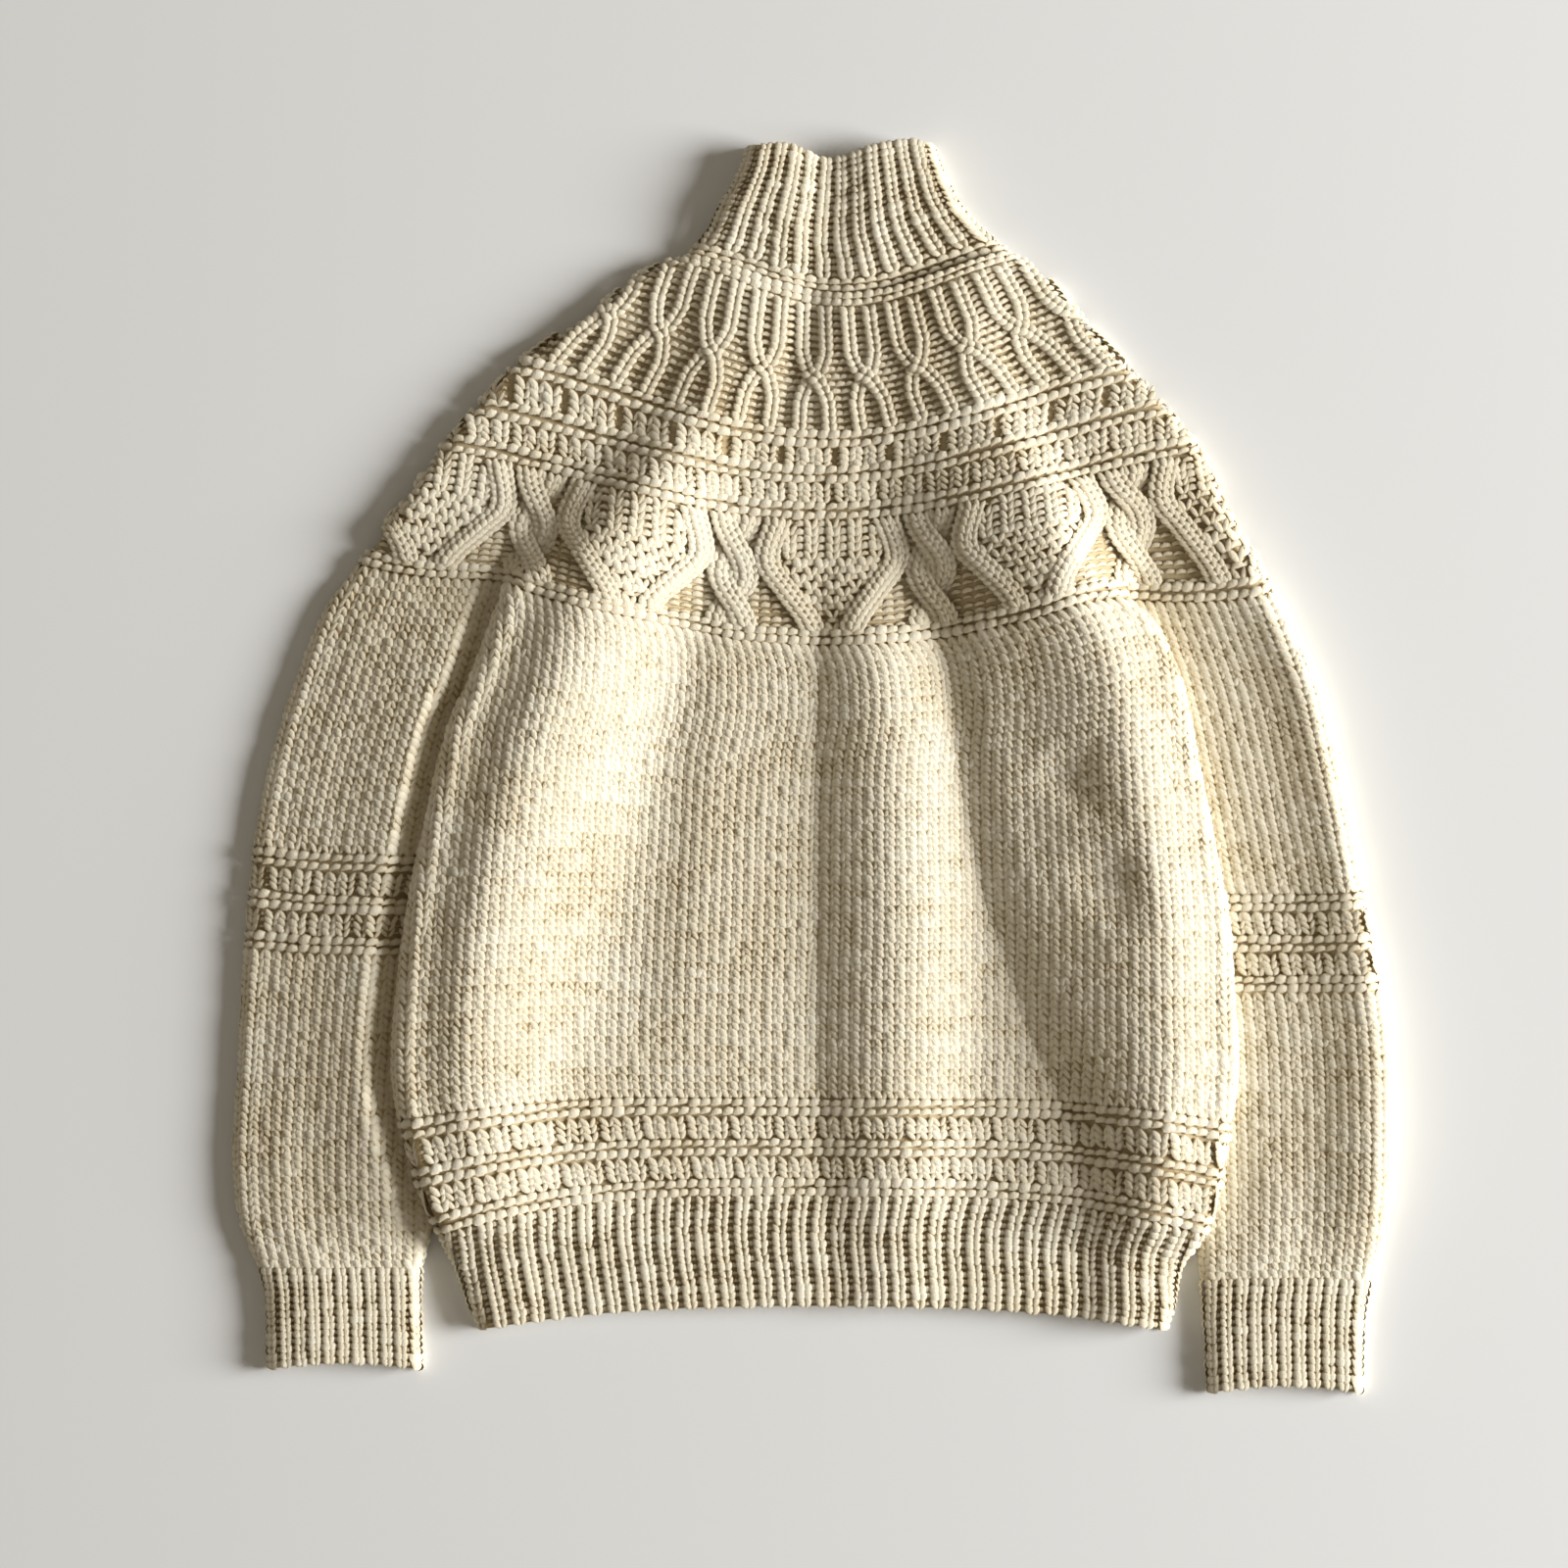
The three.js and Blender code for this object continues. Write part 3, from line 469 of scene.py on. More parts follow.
# A piece that hangs from the yoke's foot or from the piece above it, down to a line
def hung_piece(edges, upper, foot_line, top, rows, foot=on_floor):
    def y(f, v):
        upper_x = mix(edges[0]["left"], edges[0]["right"], f)
        return mix(upper(f, upper_x) - SEAM, line_y(foot_line, f), v)

    plan = {
        "y": y,
        "left": lambda v: read(edges, "leftY", y(0.0, v), "left"),
        "right": lambda v: read(edges, "rightY", y(1.0, v), "right"),
    }
    return {"plan": plan, "top": top, "foot": foot, "rows": rows}


def from_yoke(f, x):
    return yoke_foot_y(x)


def from_line(line):
    return lambda f, x: line_y(line, f)


def yoke_round_y(f, v):
    f = np.clip(f, 0, 1)
    left = read(YOKE_ROUNDS, "v", v, "leftY")
    right = read(YOKE_ROUNDS, "v", v, "rightY")
    sag = read(YOKE_ROUNDS, "v", v, "middleY") - (left + right) / 2
    bend = np.maximum(np.cos(math.pi * (2 * f - 1) / 2), 0) ** YOKE_BEND
    return mix(left, right, f) + sag * bend


def yoke_y(f, v):
    foot_x = mix(YOKE_FOOT[0]["x"], YOKE_FOOT[-1]["x"], np.clip(f, 0, 1))
    settle = smooth(YOKE_SETTLES_FROM, 1, v) * (yoke_foot_y(foot_x) - yoke_round_y(f, 1.0))
    return yoke_round_y(f, v) + settle


def collar_edge(side):
    top, seam = COLLAR_EDGES[-1]["y"], COLLAR_EDGES[0]["y"]
    return lambda v: read(COLLAR_EDGES, "y", mix(top, seam, v), side)


PIECES = {
    "yoke": {
        "plan": {
            "y": yoke_y,
            "left": lambda v: read(YOKE_ROUNDS, "v", v, "leftX"),
            "right": lambda v: read(YOKE_ROUNDS, "v", v, "rightX"),
        },
        "top": yoke_top,
        "foot": on_floor,
        "rows": YOKE_ROWS,
    },
    "body": hung_piece(BODY_EDGES, from_yoke, HEM_LINE, body_top, BODY_ROWS, body_lift),
    "hem_ribbing": hung_piece(
        HEM_EDGES, from_line(HEM_LINE), HEM_FOOT, body_top, HEM_ROWS, body_lift
    ),
    "collar": {
        "plan": {
            "y": lambda f, v: mix(
                read(COLLAR_TOP, "f", f, "y"), yoke_round_y(f, 0.0) + SEAM, v
            ),
            "left": collar_edge("left"),
            "right": collar_edge("right"),
        },
        "top": collar_top,
        "foot": on_floor,
        "rows": COLLAR_ROWS,
    },
    "sleeve_left": hung_piece(LEFT_SLEEVE_EDGES, from_yoke, LEFT_WRIST, sleeve_top, SLEEVE_ROWS),
    "sleeve_right": hung_piece(RIGHT_SLEEVE_EDGES, from_yoke, RIGHT_WRIST, sleeve_top, SLEEVE_ROWS),
    "cuff_left": hung_piece(
        LEFT_CUFF_EDGES, from_line(LEFT_WRIST), LEFT_CUFF_FOOT, sleeve_top, CUFF_ROWS
    ),
    "cuff_right": hung_piece(
        RIGHT_CUFF_EDGES, from_line(RIGHT_WRIST), RIGHT_CUFF_FOOT, sleeve_top, CUFF_ROWS
    ),
}


# A point of the outer skin: x runs across the upper layer, and past its ends round the side folds
def surface(piece, x, v, out=0.0):
    plan = piece["plan"]
    v = np.clip(v, 0, 1)
    left, right = plan["left"](v), plan["right"](v)
    low, high = left + FOLD_TURN, right - FOLD_TURN
    flat_x = np.clip(x, low, high)
    f = (flat_x - left) / (right - left)
    y = plan["y"](f, v)
    top, foot = piece["top"](flat_x, y), piece["foot"](flat_x, y)
    beyond = np.where(x > high, x - high, np.where(x < low, low - x, 0))
    side = np.where(x > high, 1.0, -1.0)
    angle = math.pi * np.clip(beyond / FOLD_LENGTH, 0, 1)
    half = (top - foot) / 2
    px = flat_x + side * (FOLD_TURN + out) * np.sin(angle)
    pz = (top + foot) / 2 + (half + out) * np.cos(angle)
    py = plan["y"]((px - left) / (right - left), v)
    return np.stack([px, py, pz], -1)


def middle_x(piece, v):
    v = np.clip(v, 0, 1)
    return (piece["plan"]["left"](v) + piece["plan"]["right"](v)) / 2


def half_width(piece, v):
    v = np.clip(v, 0, 1)
    return (piece["plan"]["right"](v) - piece["plan"]["left"](v)) / 2 - FOLD_TURN


# Yarn forms. Each is a short length of yarn: a across, b down the column, c up, w half its width
LEGS = {
    "knit_left": {
        "a": [-0.58, -0.46, -0.24, -0.03, 0.10],
        "b": [-0.72, -0.40, 0.0, 0.42, 0.74],
        "c": [-0.35, 0.3, 0.5, 0.3, -0.45],
        "w": [0.5, 1.35, 1.62, 1.28, 0.45],
    },
    "knit_right": {
        "a": [0.56, 0.49, 0.38, 0.27, 0.16],
        "b": [-0.74, -0.40, 0.02, 0.44, 0.76],
        "c": [-0.35, 0.15, 0.32, 0.15, -0.4],
        "w": [0.5, 1.15, 1.36, 1.14, 0.45],
    },
    "rib_left": {
        "a": [-0.48, -0.37, -0.22, -0.08, 0.03],
        "b": [-0.68, -0.38, 0.0, 0.40, 0.70],
        "c": [-1.1, 0.2, 0.7, 0.2, -1.2],
        "w": [0.4, 1.42, 1.74, 1.34, 0.35],
    },
    "rib_right": {
        "a": [0.40, 0.36, 0.29, 0.21, 0.15],
        "b": [-0.70, -0.38, 0.02, 0.42, 0.72],
        "c": [-1.0, 0.1, 0.5, 0.1, -1.0],
        "w": [0.45, 1.25, 1.46, 1.2, 0.4],
    },
    "purl": {
        "a": [-0.56, -0.32, 0.0, 0.32, 0.56],
        "b": [0.26, 0.04, -0.10, -0.02, 0.20],
        "c": [-0.8, 0.15, 0.5, 0.2, -0.7],
        "w": [0.5, 1.16, 1.42, 1.16, 0.5],
    },
    "ridge": {
        "a": [-0.58, -0.34, 0.0, 0.34, 0.60],
        "b": [0.28, 0.08, -0.06, -0.04, 0.16],
        "c": [-0.7, 0.35, 0.65, 0.4, -0.7],
        "w": [0.6, 1.5, 1.86, 1.5, 0.6],
    },
}
STATIONS = 5
# The section of a yarn, open below
SECTION_ACROSS = np.array([-1.0, -0.55, 0.55, 1.0])
SECTION_UP = np.array([-0.32, 0.38, 0.38, -0.32])
CORNERS = 4
# Wool fibres soften the shade of each yarn: how far its surface seems to turn at its sides
YARN_TURN = 0.5
# How much a yarn's normals follow its rise and fall
YARN_RISE = 0.6
# Painted shade: a yarn's colour is darkened at its sides and its two ends, where it goes under its
# neighbours and lies in their shade
PAINTED_SHADE_SIDE = 1.7
PAINTED_SHADE_END = 1.0
# The most triangles in one joined mesh
MESH_LIMIT = 190000
# How much stitches differ along a round, and each from the next
THICK_ALONG, THICK_EACH = 0.13, 0.11
TINT_ALONG, TINT_EACH = 0.1, 0.16
LIFT_EACH = 0.15
PLACE_EACH = 0.035
THINNEST, THICKEST = 0.75, 1.4
# The share of a side fold that rounds of stitches cover, and that chains cover
ROUND_WRAP = 0.80
CHAIN_WRAP = 0.62
KINDS = {
    "knit": ["knit_left", "knit_right"],
    "rib": ["rib_left", "rib_right"],
    "purl": ["purl"],
    "ridge": ["ridge"],
}


def unit(vectors):
    return vectors / np.maximum(np.linalg.norm(vectors, axis=-1, keepdims=True), 1e-9)


# Thick and thin yarn: slow changes along each round of knitting
def yarn_noise(columns, seed):
    kernel = np.array([0.2, 0.55, 0.9, 1.0, 0.9, 0.55, 0.2])
    kernel /= np.sqrt((kernel**2).sum())
    wave = np.random.default_rng(seed).normal(0, 1, columns + 12)
    return np.convolve(wave, kernel, mode="same")[:columns]


# Collects the stitches of one piece, and makes joined meshes of them
class Knitting:
    def __init__(self, node):
        self.node = node
        self.sets = []

    def add(self, kind, centre, across, down, thick, shade, size=1.0):
        normal = unit(np.cross(down, across))
        for leg in KINDS[kind]:
            self.sets.append((leg, centre, across, down, normal, thick, shade, size))

    def arrays(self):
        points, shades, normals = [], [], []
        for leg, centre, across, down, normal, thick, shade, size in self.sets:
            form = {key: np.array(values) for key, values in LEGS[leg].items()}
            middle = (
                centre[:, None]
                + across[:, None] * form["a"][None, :, None]
                + down[:, None] * form["b"][None, :, None]
                + normal[:, None] * (form["c"][None, :, None] * YARN)
            )
            run = np.gradient(middle, axis=1)
            flat_run = run - normal[:, None] * (run * normal[:, None]).sum(-1, keepdims=True)
            side = unit(np.cross(normal[:, None], flat_run))
            width = form["w"][None, :, None, None] * (thick * size)[:, None, None, None] * YARN
            ring = (
                middle[:, :, None]
                + side[:, :, None] * width * SECTION_ACROSS[None, None, :, None]
                + normal[:, None, None] * width * SECTION_UP[None, None, :, None]
            )
            points.append(ring.reshape(-1, CORNERS * STATIONS, 3))
            # Painted shade: a darker tint at each yarn's sides and two ends
            under = np.zeros((STATIONS, CORNERS))
            under[:, [0, -1]] -= PAINTED_SHADE_SIDE
            under[[0, -1], 1:-1] -= PAINTED_SHADE_END
            shades.append(shade[:, None] + under.reshape(1, -1))
            along = unit(run)
            rise = normal[:, None] - along * (along * normal[:, None]).sum(-1, keepdims=True)
            soft = unit(rise * YARN_RISE + normal[:, None] * (1 - YARN_RISE))[:, :, None]
            soft = soft + side[:, :, None] * (SECTION_ACROSS * YARN_TURN)[None, None, :, None]
            normals.append(unit(soft).reshape(-1, CORNERS * STATIONS, 3))
        return np.concatenate(points), np.concatenate(shades), np.concatenate(normals)

    def meshes(self, material):
        points, shades, normals = self.arrays()
        order = np.argsort(-points[:, :, 1].mean(1), kind="stable")
        points, shades, normals = points[order], shades[order], normals[order]
        per_leg = 2 * (CORNERS - 1) * (STATIONS - 1)
        count = max(1, math.ceil(len(points) * per_leg / MESH_LIMIT))
        pieces = []
        for n, some in enumerate(np.array_split(np.arange(len(points)), count)):
            name = f"{self.node}_knitting" + (f"_{n + 1}" if count > 1 else "")
            pieces.append(yarn_mesh(name, points[some], shades[some], normals[some], material))
        return pieces


def yarn_mesh(name, points, shades, normals, material):
    legs = len(points)
    quads = []
    for station in range(STATIONS - 1):
        for corner in range(CORNERS - 1):
            first = CORNERS * station + corner
            quads.append([first, first + CORNERS, first + CORNERS + 1, first + 1])
    quads = np.array(quads)
    faces = (quads[None] + (np.arange(legs) * CORNERS * STATIONS)[:, None, None]).reshape(-1, 4)
    flat = points.reshape(-1, 3).copy()
    flat[:, 2] = np.maximum(flat[:, 2], LOWEST_YARN)
    mesh = new_mesh(name, flat, faces, material)
    tint_and_painted_shade = mesh.attributes.new("tint_and_painted_shade", "FLOAT", "POINT")
    tint_and_painted_shade.data.foreach_set("value", shades.reshape(-1).astype(np.float32))
    along = np.repeat(np.arange(STATIONS) / (STATIONS - 1), CORNERS)
    around = np.tile(np.arange(CORNERS) / (CORNERS - 1), STATIONS)
    coords = np.stack([along, around], 1)
    offsets = np.random.default_rng(5).random(legs)
    uv = mesh.uv_layers.new(name="yarn")
    loops = np.tile(coords[quads.reshape(-1)], (legs, 1)).astype(np.float32)
    loops[:, 0] += np.repeat(offsets, quads.size)
    uv.data.foreach_set("uv", loops.reshape(-1))
    mesh.normals_split_custom_set_from_vertices(normals.reshape(-1, 3).astype(np.float32))
    piece = bpy.data.objects.new(name, mesh)
    bpy.context.scene.collection.objects.link(piece)
    return piece


def new_mesh(name, points, faces, material):
    place = (points - np.array([MIDDLE[0], MIDDLE[1], 0])) * MM
    mesh = bpy.data.meshes.new(name)
    mesh.vertices.add(len(place))
    mesh.vertices.foreach_set("co", place.astype(np.float32).reshape(-1))
    mesh.loops.add(faces.size)
    mesh.loops.foreach_set("vertex_index", faces.astype(np.int32).reshape(-1))
    mesh.polygons.add(len(faces))
    sides = faces.shape[1]
    mesh.polygons.foreach_set("loop_start", (np.arange(len(faces)) * sides).astype(np.int32))
    mesh.polygons.foreach_set("loop_total", np.full(len(faces), sides, np.int32))
    mesh.polygons.foreach_set("use_smooth", np.ones(len(faces), bool))
    mesh.materials.append(material)
    mesh.update(calc_edges=True)
    mesh.validate()
    return mesh


# One round of stitches: columns k from the middle, at a row of the piece
def lay_round(knitting, piece, row, span, pitch, kind_of, shift=0.0, seed=0):
    total = piece["rows"]
    v = row / total
    reach = float(half_width(piece, v)) + ROUND_WRAP * FOLD_LENGTH
    limit = int(reach / pitch(v)) + 1
    k = np.arange(-limit, limit + 1)
    k = k[np.abs(k * pitch(v)) <= reach]

    def at(columns, r):
        vr = np.clip(r / total, 0, 1)
        return surface(piece, middle_x(piece, vr) + shift + columns * pitch(vr), vr)

    centre = at(k, row)
    across = at(k + 0.5, row) - at(k - 0.5, row)
    low, high = max(row - span / 2, 0), min(row + span / 2, total)
    down = (at(k, high) - at(k, low)) * (span / (high - low))
    normal = unit(np.cross(down, across))
    noise = yarn_noise(len(k), 100 * seed + int(row * 10))
    for kind, lift, width, size, tint_and_painted_shade, chosen, slide in kind_of(k):
        if not chosen.any():
            continue
        pick = np.nonzero(chosen)[0]
        jitter = np.random.default_rng(int(row * 31) + seed).normal(0, 1, (len(pick), 3))
        thick = 1 + THICK_ALONG * noise[pick] + THICK_EACH * jitter[:, 0]
        place = centre[pick] + normal[pick] * (lift + LIFT_EACH * jitter[:, 1])[:, None]
        place = place + across[pick] * (PLACE_EACH * jitter[:, 2] + slide[pick])[:, None]
        place = place + down[pick] * (PLACE_EACH * jitter[:, 1])[:, None]
        shade = tint_and_painted_shade + TINT_ALONG * noise[pick] + TINT_EACH * jitter[:, 0]
        thick = np.clip(thick, THINNEST, THICKEST)
        knitting.add(kind, place, across[pick] * width, down[pick], thick, shade, size)


# Stitches of one kind in a round: which columns they take, and how they lie in them
def group(kind, chosen, lift=0.0, width=1.0, size=1.0, tint_and_painted_shade=0.0, slide=0.0):
    return kind, lift, width, size, tint_and_painted_shade, chosen, np.broadcast_to(slide, chosen.shape)


def every(k):
    return np.ones(len(k), bool)


def garter(k):
    return [group("purl", every(k), lift=0.3, tint_and_painted_shade=-0.1)]


def plain(k):
    return [group("knit", every(k))]


def ridge_row(k):
    return [group("ridge", every(k), lift=0.9, tint_and_painted_shade=0.1)]


# Knitted blocks with a narrow purled gap after each. The gap is drawn in, and the blocks fill it.
GAP_SHARE = 0.55


def blocks(period, gap_width, phase=0):
    knits = period - gap_width
    wider = (period - gap_width * GAP_SHARE) / knits

    def kinds(k):
        place = (k + phase) % period
        gap = place < gap_width
        middle = gap_width + (knits - 1) / 2
        slide = np.where(gap, 0.0, (place - middle) * (wider - 1))
        return [
            group("knit", ~gap, lift=0.3, width=wider, size=0.95, slide=slide),
            # Painted shade: the sunken purls in the gap are tinted darker
            group("purl", gap, lift=-0.8, width=GAP_SHARE, size=0.7, tint_and_painted_shade=-1.1),
        ]

    return kinds


def ribs(k):
    raised = k % 2 == 0
    return [
        # Painted light and shade: the raised ribs are tinted lighter and the sunken purls between
        # them darker
        group("rib", raised, lift=1.0, width=1.42, tint_and_painted_shade=0.2),
        group("purl", ~raised, lift=-0.6, width=0.66, size=0.8, tint_and_painted_shade=-0.5),
    ]


# A ladder is three double ridges with two courses of blocks between them, all in rows
LADDER_ROWS = table(
    "row span form",
    (0.75, 1.4, "ridge"),
    (1.95, 1.4, "ridge"),
    (3.23, 0.87, "block"),
    (4.1, 0.87, "block"),
    (4.97, 0.87, "block"),
    (6.2, 1.4, "ridge"),
    (7.4, 1.4, "ridge"),
    (8.63, 0.87, "block"),
    (9.5, 0.87, "block"),
    (10.37, 0.87, "block"),
    (11.55, 1.4, "ridge"),
    (12.75, 1.2, "ridge"),
)
LADDER_LENGTH = 13.4


def lay_ladder(knitting, piece, start, pitch, seed):
    for line in LADDER_ROWS:
        kinds = ridge_row if line["form"] == "ridge" else blocks(4, 1)
        lay_round(knitting, piece, start + line["row"], line["span"], pitch, kinds, seed=seed)


def lay_plain(knitting, piece, start, end, pitch, seed):
    count = max(1, round(end - start))
    for n in range(count):
        row = start + (n + 0.5) * (end - start) / count
        lay_round(knitting, piece, row, (end - start) / count, pitch, plain, seed=seed)


# The width of a column, from a piece's widest place and its number of columns there
def fitted_pitch(piece, widest, columns, power=0.6):
    def pitch(v):
        width = 2 * (half_width(piece, v) + FOLD_TURN)
        return width / (columns * (width / widest) ** power)

    return pitch


# A chain of stitches along a path across the yoke, for smocked ribs, cable arms and cable strands
def lay_chain(knitting, piece, x, v, width, lift, kind, size=1.0, seed=0):
    path = surface(piece, x, v)
    far = np.concatenate([[0], np.cumsum(np.linalg.norm(np.diff(path, axis=0), axis=1))])
    count = max(2, round(far[-1] / CHAIN_STEP))
    at = (np.arange(count) + 0.5) / count * far[-1]
    lifts = np.interp(at, far, np.broadcast_to(lift, far.shape))

    def along(places):
        return np.interp(places, far, x), np.interp(places, far, v)

    xs, vs = along(at)
    centre = surface(piece, xs, vs)
    half = CHAIN_STEP / 2
    down = surface(piece, *along(at + half)) - surface(piece, *along(at - half))
    down = unit(down) * (far[-1] / count)
    east = surface(piece, xs + 1, vs) - surface(piece, xs - 1, vs)
    normal = unit(np.cross(down, east))
    across = unit(np.cross(normal, down)) * width
    across = np.where((across * east).sum(-1, keepdims=True) < 0, -across, across)
    jitter = np.random.default_rng(1000 + seed).normal(0, 1, (count, 2))
    thick = np.clip(1 + 0.09 * jitter[:, 0], 0.8, 1.3)
    knitting.add(
        kind, centre + normal * lifts[:, None], across, down, thick, 0.1 * jitter[:, 1], size
    )


# The yoke, in rows from the collar
YOKE_TOP_ROWS = (0.45, 1.4)
SMOCK = {"start": 2.0, "knot": 11.7, "end": 19.0, "middle": 1.0}
SMOCK_PITCH = table(
    "row pitch",
    (2, 13.2),
    (11.7, 15.7),
    (19, 18.8),
)
SMOCK_PAIRS = range(-8, 9)
# How two ribs part from their knot: over how many rows, and how fast at first
SMOCK_PARTING = 3.4
SMOCK_POWER = 0.55
SMOCK_LIFT = 1.5
SMOCK_WIDTH = 9.0
KNOT_ROWS = 0.9
KNOT_LIFT = {-1: 1.6, 1: -1.4}
# The purled ground between the ribs: what the ribs cover, and the width of a stitch
SMOCK_COVER = 7.6
SMOCK_PURL = 5.6
MOTIF = {"start": 31.0, "end": 46.0, "middle": 12.0, "stitches": 18}
MOTIF_PITCH = table(
    "row pitch",
    (31, 118),
    (46, 124),
)
# Between the cable arms, the first rows are ribs and the rest is seed stitch
MOTIF_RIB_ROWS = 4
SEED_FROM_ARM = 1.3
ARM_HALF = 0.9
CABLE_HALF = 1.9
# Centre line of a cable arm, in stitches from the motif's middle, at shares of the motif's depth
ARM_PATH = table(
    "down stitch",
    (0, 5.0),
    (0.36, 5.95),
    (0.6, 4.3),
    (0.87, 2.3),
    (1, 1.7),
)
ARM_LIFT = 2.6
ARM_ROUND = 0.9
STRANDS = (-1, 0, 1)
# Cabled stitches are drawn closer together than plain ones
STRAND = 4.5
STRAND_WIDTH = 4.9
STRAND_SIZE = 0.92
CHAIN_STEP = 4.6
# The twisted cable: how far its two parts swing, in stitches, and how long a crossing is
SWING = 1.15
CROSSING = 0.24
TWIST_ROUND = 0.8
# Rows of the yoke's bumps, two lines to a ridge, and the rows that each line takes
RIDGE_PITCH = 6.7
YOKE_RIDGES = [
    (19.3, 1.3),
    (20.6, 1.3),
    (24.1, 1.3),
    (25.4, 1.3),
    (29.1, 1.3),
    (30.4, 1.3),
    (46.2, 1.3),
    (47.4, 1.2),
]
GARTER_PITCH = 6.2
# Two courses of blocks, with the place of each one's middle column
BLOCK_ROW = 0.85
YOKE_BLOCKS = table(
    "row pitch kinds x v seed",
    (21.65, 6.6, blocks(5, 2, 3), -3, 0.47, 22),
    (26.45, 7.0, blocks(4, 1, 2), -2, 0.57, 23),
)


def smock_pair(row):
    away = row - SMOCK["knot"]
    return 0.5 * np.sign(-away) * np.clip(np.abs(away) / SMOCK_PARTING, 0, 1) ** SMOCK_POWER


def within(piece, x, v):
    return np.abs(x - middle_x(piece, v)) <= half_width(piece, v) + CHAIN_WRAP * FOLD_LENGTH


def lay_smocking(knitting, piece):
    rows = np.linspace(SMOCK["start"] + 0.1, SMOCK["end"] - 0.1, 60)
    v = rows / YOKE_ROWS
    pitch = read(SMOCK_PITCH, "row", rows, "pitch")
    for pair in SMOCK_PAIRS:
        for side in (-1, 1):
            x = SMOCK["middle"] + pitch * (2 * pair + side * smock_pair(rows))
            keep = within(piece, x, v)
            if keep.sum() < 6:
                continue
            near = np.exp(-(((rows - SMOCK["knot"]) / KNOT_ROWS) ** 2))
            lift = SMOCK_LIFT + near * KNOT_LIFT[side]
            lay_chain(
                knitting, piece, x[keep], v[keep], SMOCK_WIDTH, lift[keep], "rib",
                seed=pair * 7 + side,
            )
    # Purl stitches between the smocked ribs, drawn towards the knots
    for n in range(int(SMOCK["end"] - SMOCK["start"])):
        row = SMOCK["start"] + n + 0.5
        pitch_here = float(read(SMOCK_PITCH, "row", row, "pitch"))
        apart = abs(float(smock_pair(row)))
        for pair in SMOCK_PAIRS:
            turn = 2 * pair + apart
            for low, high in ((2 * pair - apart, turn), (turn, 2 * pair + 2 - apart)):
                gap = (high - low) * pitch_here - SMOCK_COVER
                middle = (low + high) / 2 * pitch_here
                if gap >= 1.0:
                    lay_purls(knitting, piece, row / YOKE_ROWS, middle, gap)


def lay_purls(knitting, piece, v, middle, gap):
    def at(x, v):
        return surface(piece, x, np.array([v]))

    half_row = 0.5 / YOKE_ROWS
    count = max(1, round(gap / SMOCK_PURL))
    for c in range(count):
        offset = middle + (c + 0.5 - count / 2) * gap / count
        x = np.array([SMOCK["middle"] + offset])
        if not within(piece, x, v)[0]:
            continue
        across = at(x + gap / count / 2, v) - at(x - gap / count / 2, v)
        down = at(x, v + half_row) - at(x, v - half_row)
        here = at(x, v) - unit(np.cross(down, across)) * 0.5
        thick = np.array([1.0 + 0.08 * random.normal()])
        # Painted shade: these sunken purls between the smocked ribs are tinted darker
        shade = np.array([-0.4 + 0.2 * random.normal()])
        knitting.add("purl", here, across * 1.15, down, thick, shade, 0.84)


def motif_place(row, x):
    pitch = read(MOTIF_PITCH, "row", row, "pitch")
    place = (x - MOTIF["middle"]) / pitch
    return (place - np.round(place)) * MOTIF["stitches"]


def motif_shift(v):
    return MOTIF["middle"] - middle_x(PIECES["yoke"], v)


def stitch_pitch(v):
    return read(MOTIF_PITCH, "row", v * YOKE_ROWS, "pitch") / MOTIF["stitches"]


# One row between the cables: ribs or seed stitch in the wedges, and purled ground beside the cables
def motif_row(piece, row, n, arm):
    def kinds(k):
        v = row / YOKE_ROWS
        place = motif_place(row, middle_x(piece, v) + motif_shift(v) + k * stitch_pitch(v))
        away = np.abs(place)
        wedge = away < arm - SEED_FROM_ARM
        column = np.round(place).astype(int)
        knit_here = (column + n) % 2 == 0 if n >= MOTIF_RIB_ROWS else column % 2 == 0
        cable = away > MOTIF["stitches"] / 2 - CABLE_HALF
        under_arm = np.abs(away - arm) <= ARM_HALF
        return [
            group("knit", wedge & knit_here, lift=0.7),
            group("purl", wedge & ~knit_here, lift=0.4, size=0.95, tint_and_painted_shade=-0.1),
            # Painted shade: the sunken purled ground beside the cables is tinted darker
            group(
                "purl", ~wedge & ~cable & ~under_arm, lift=-1.0, width=1.05, size=0.8, tint_and_painted_shade=-0.7
            ),
        ]

    return kinds


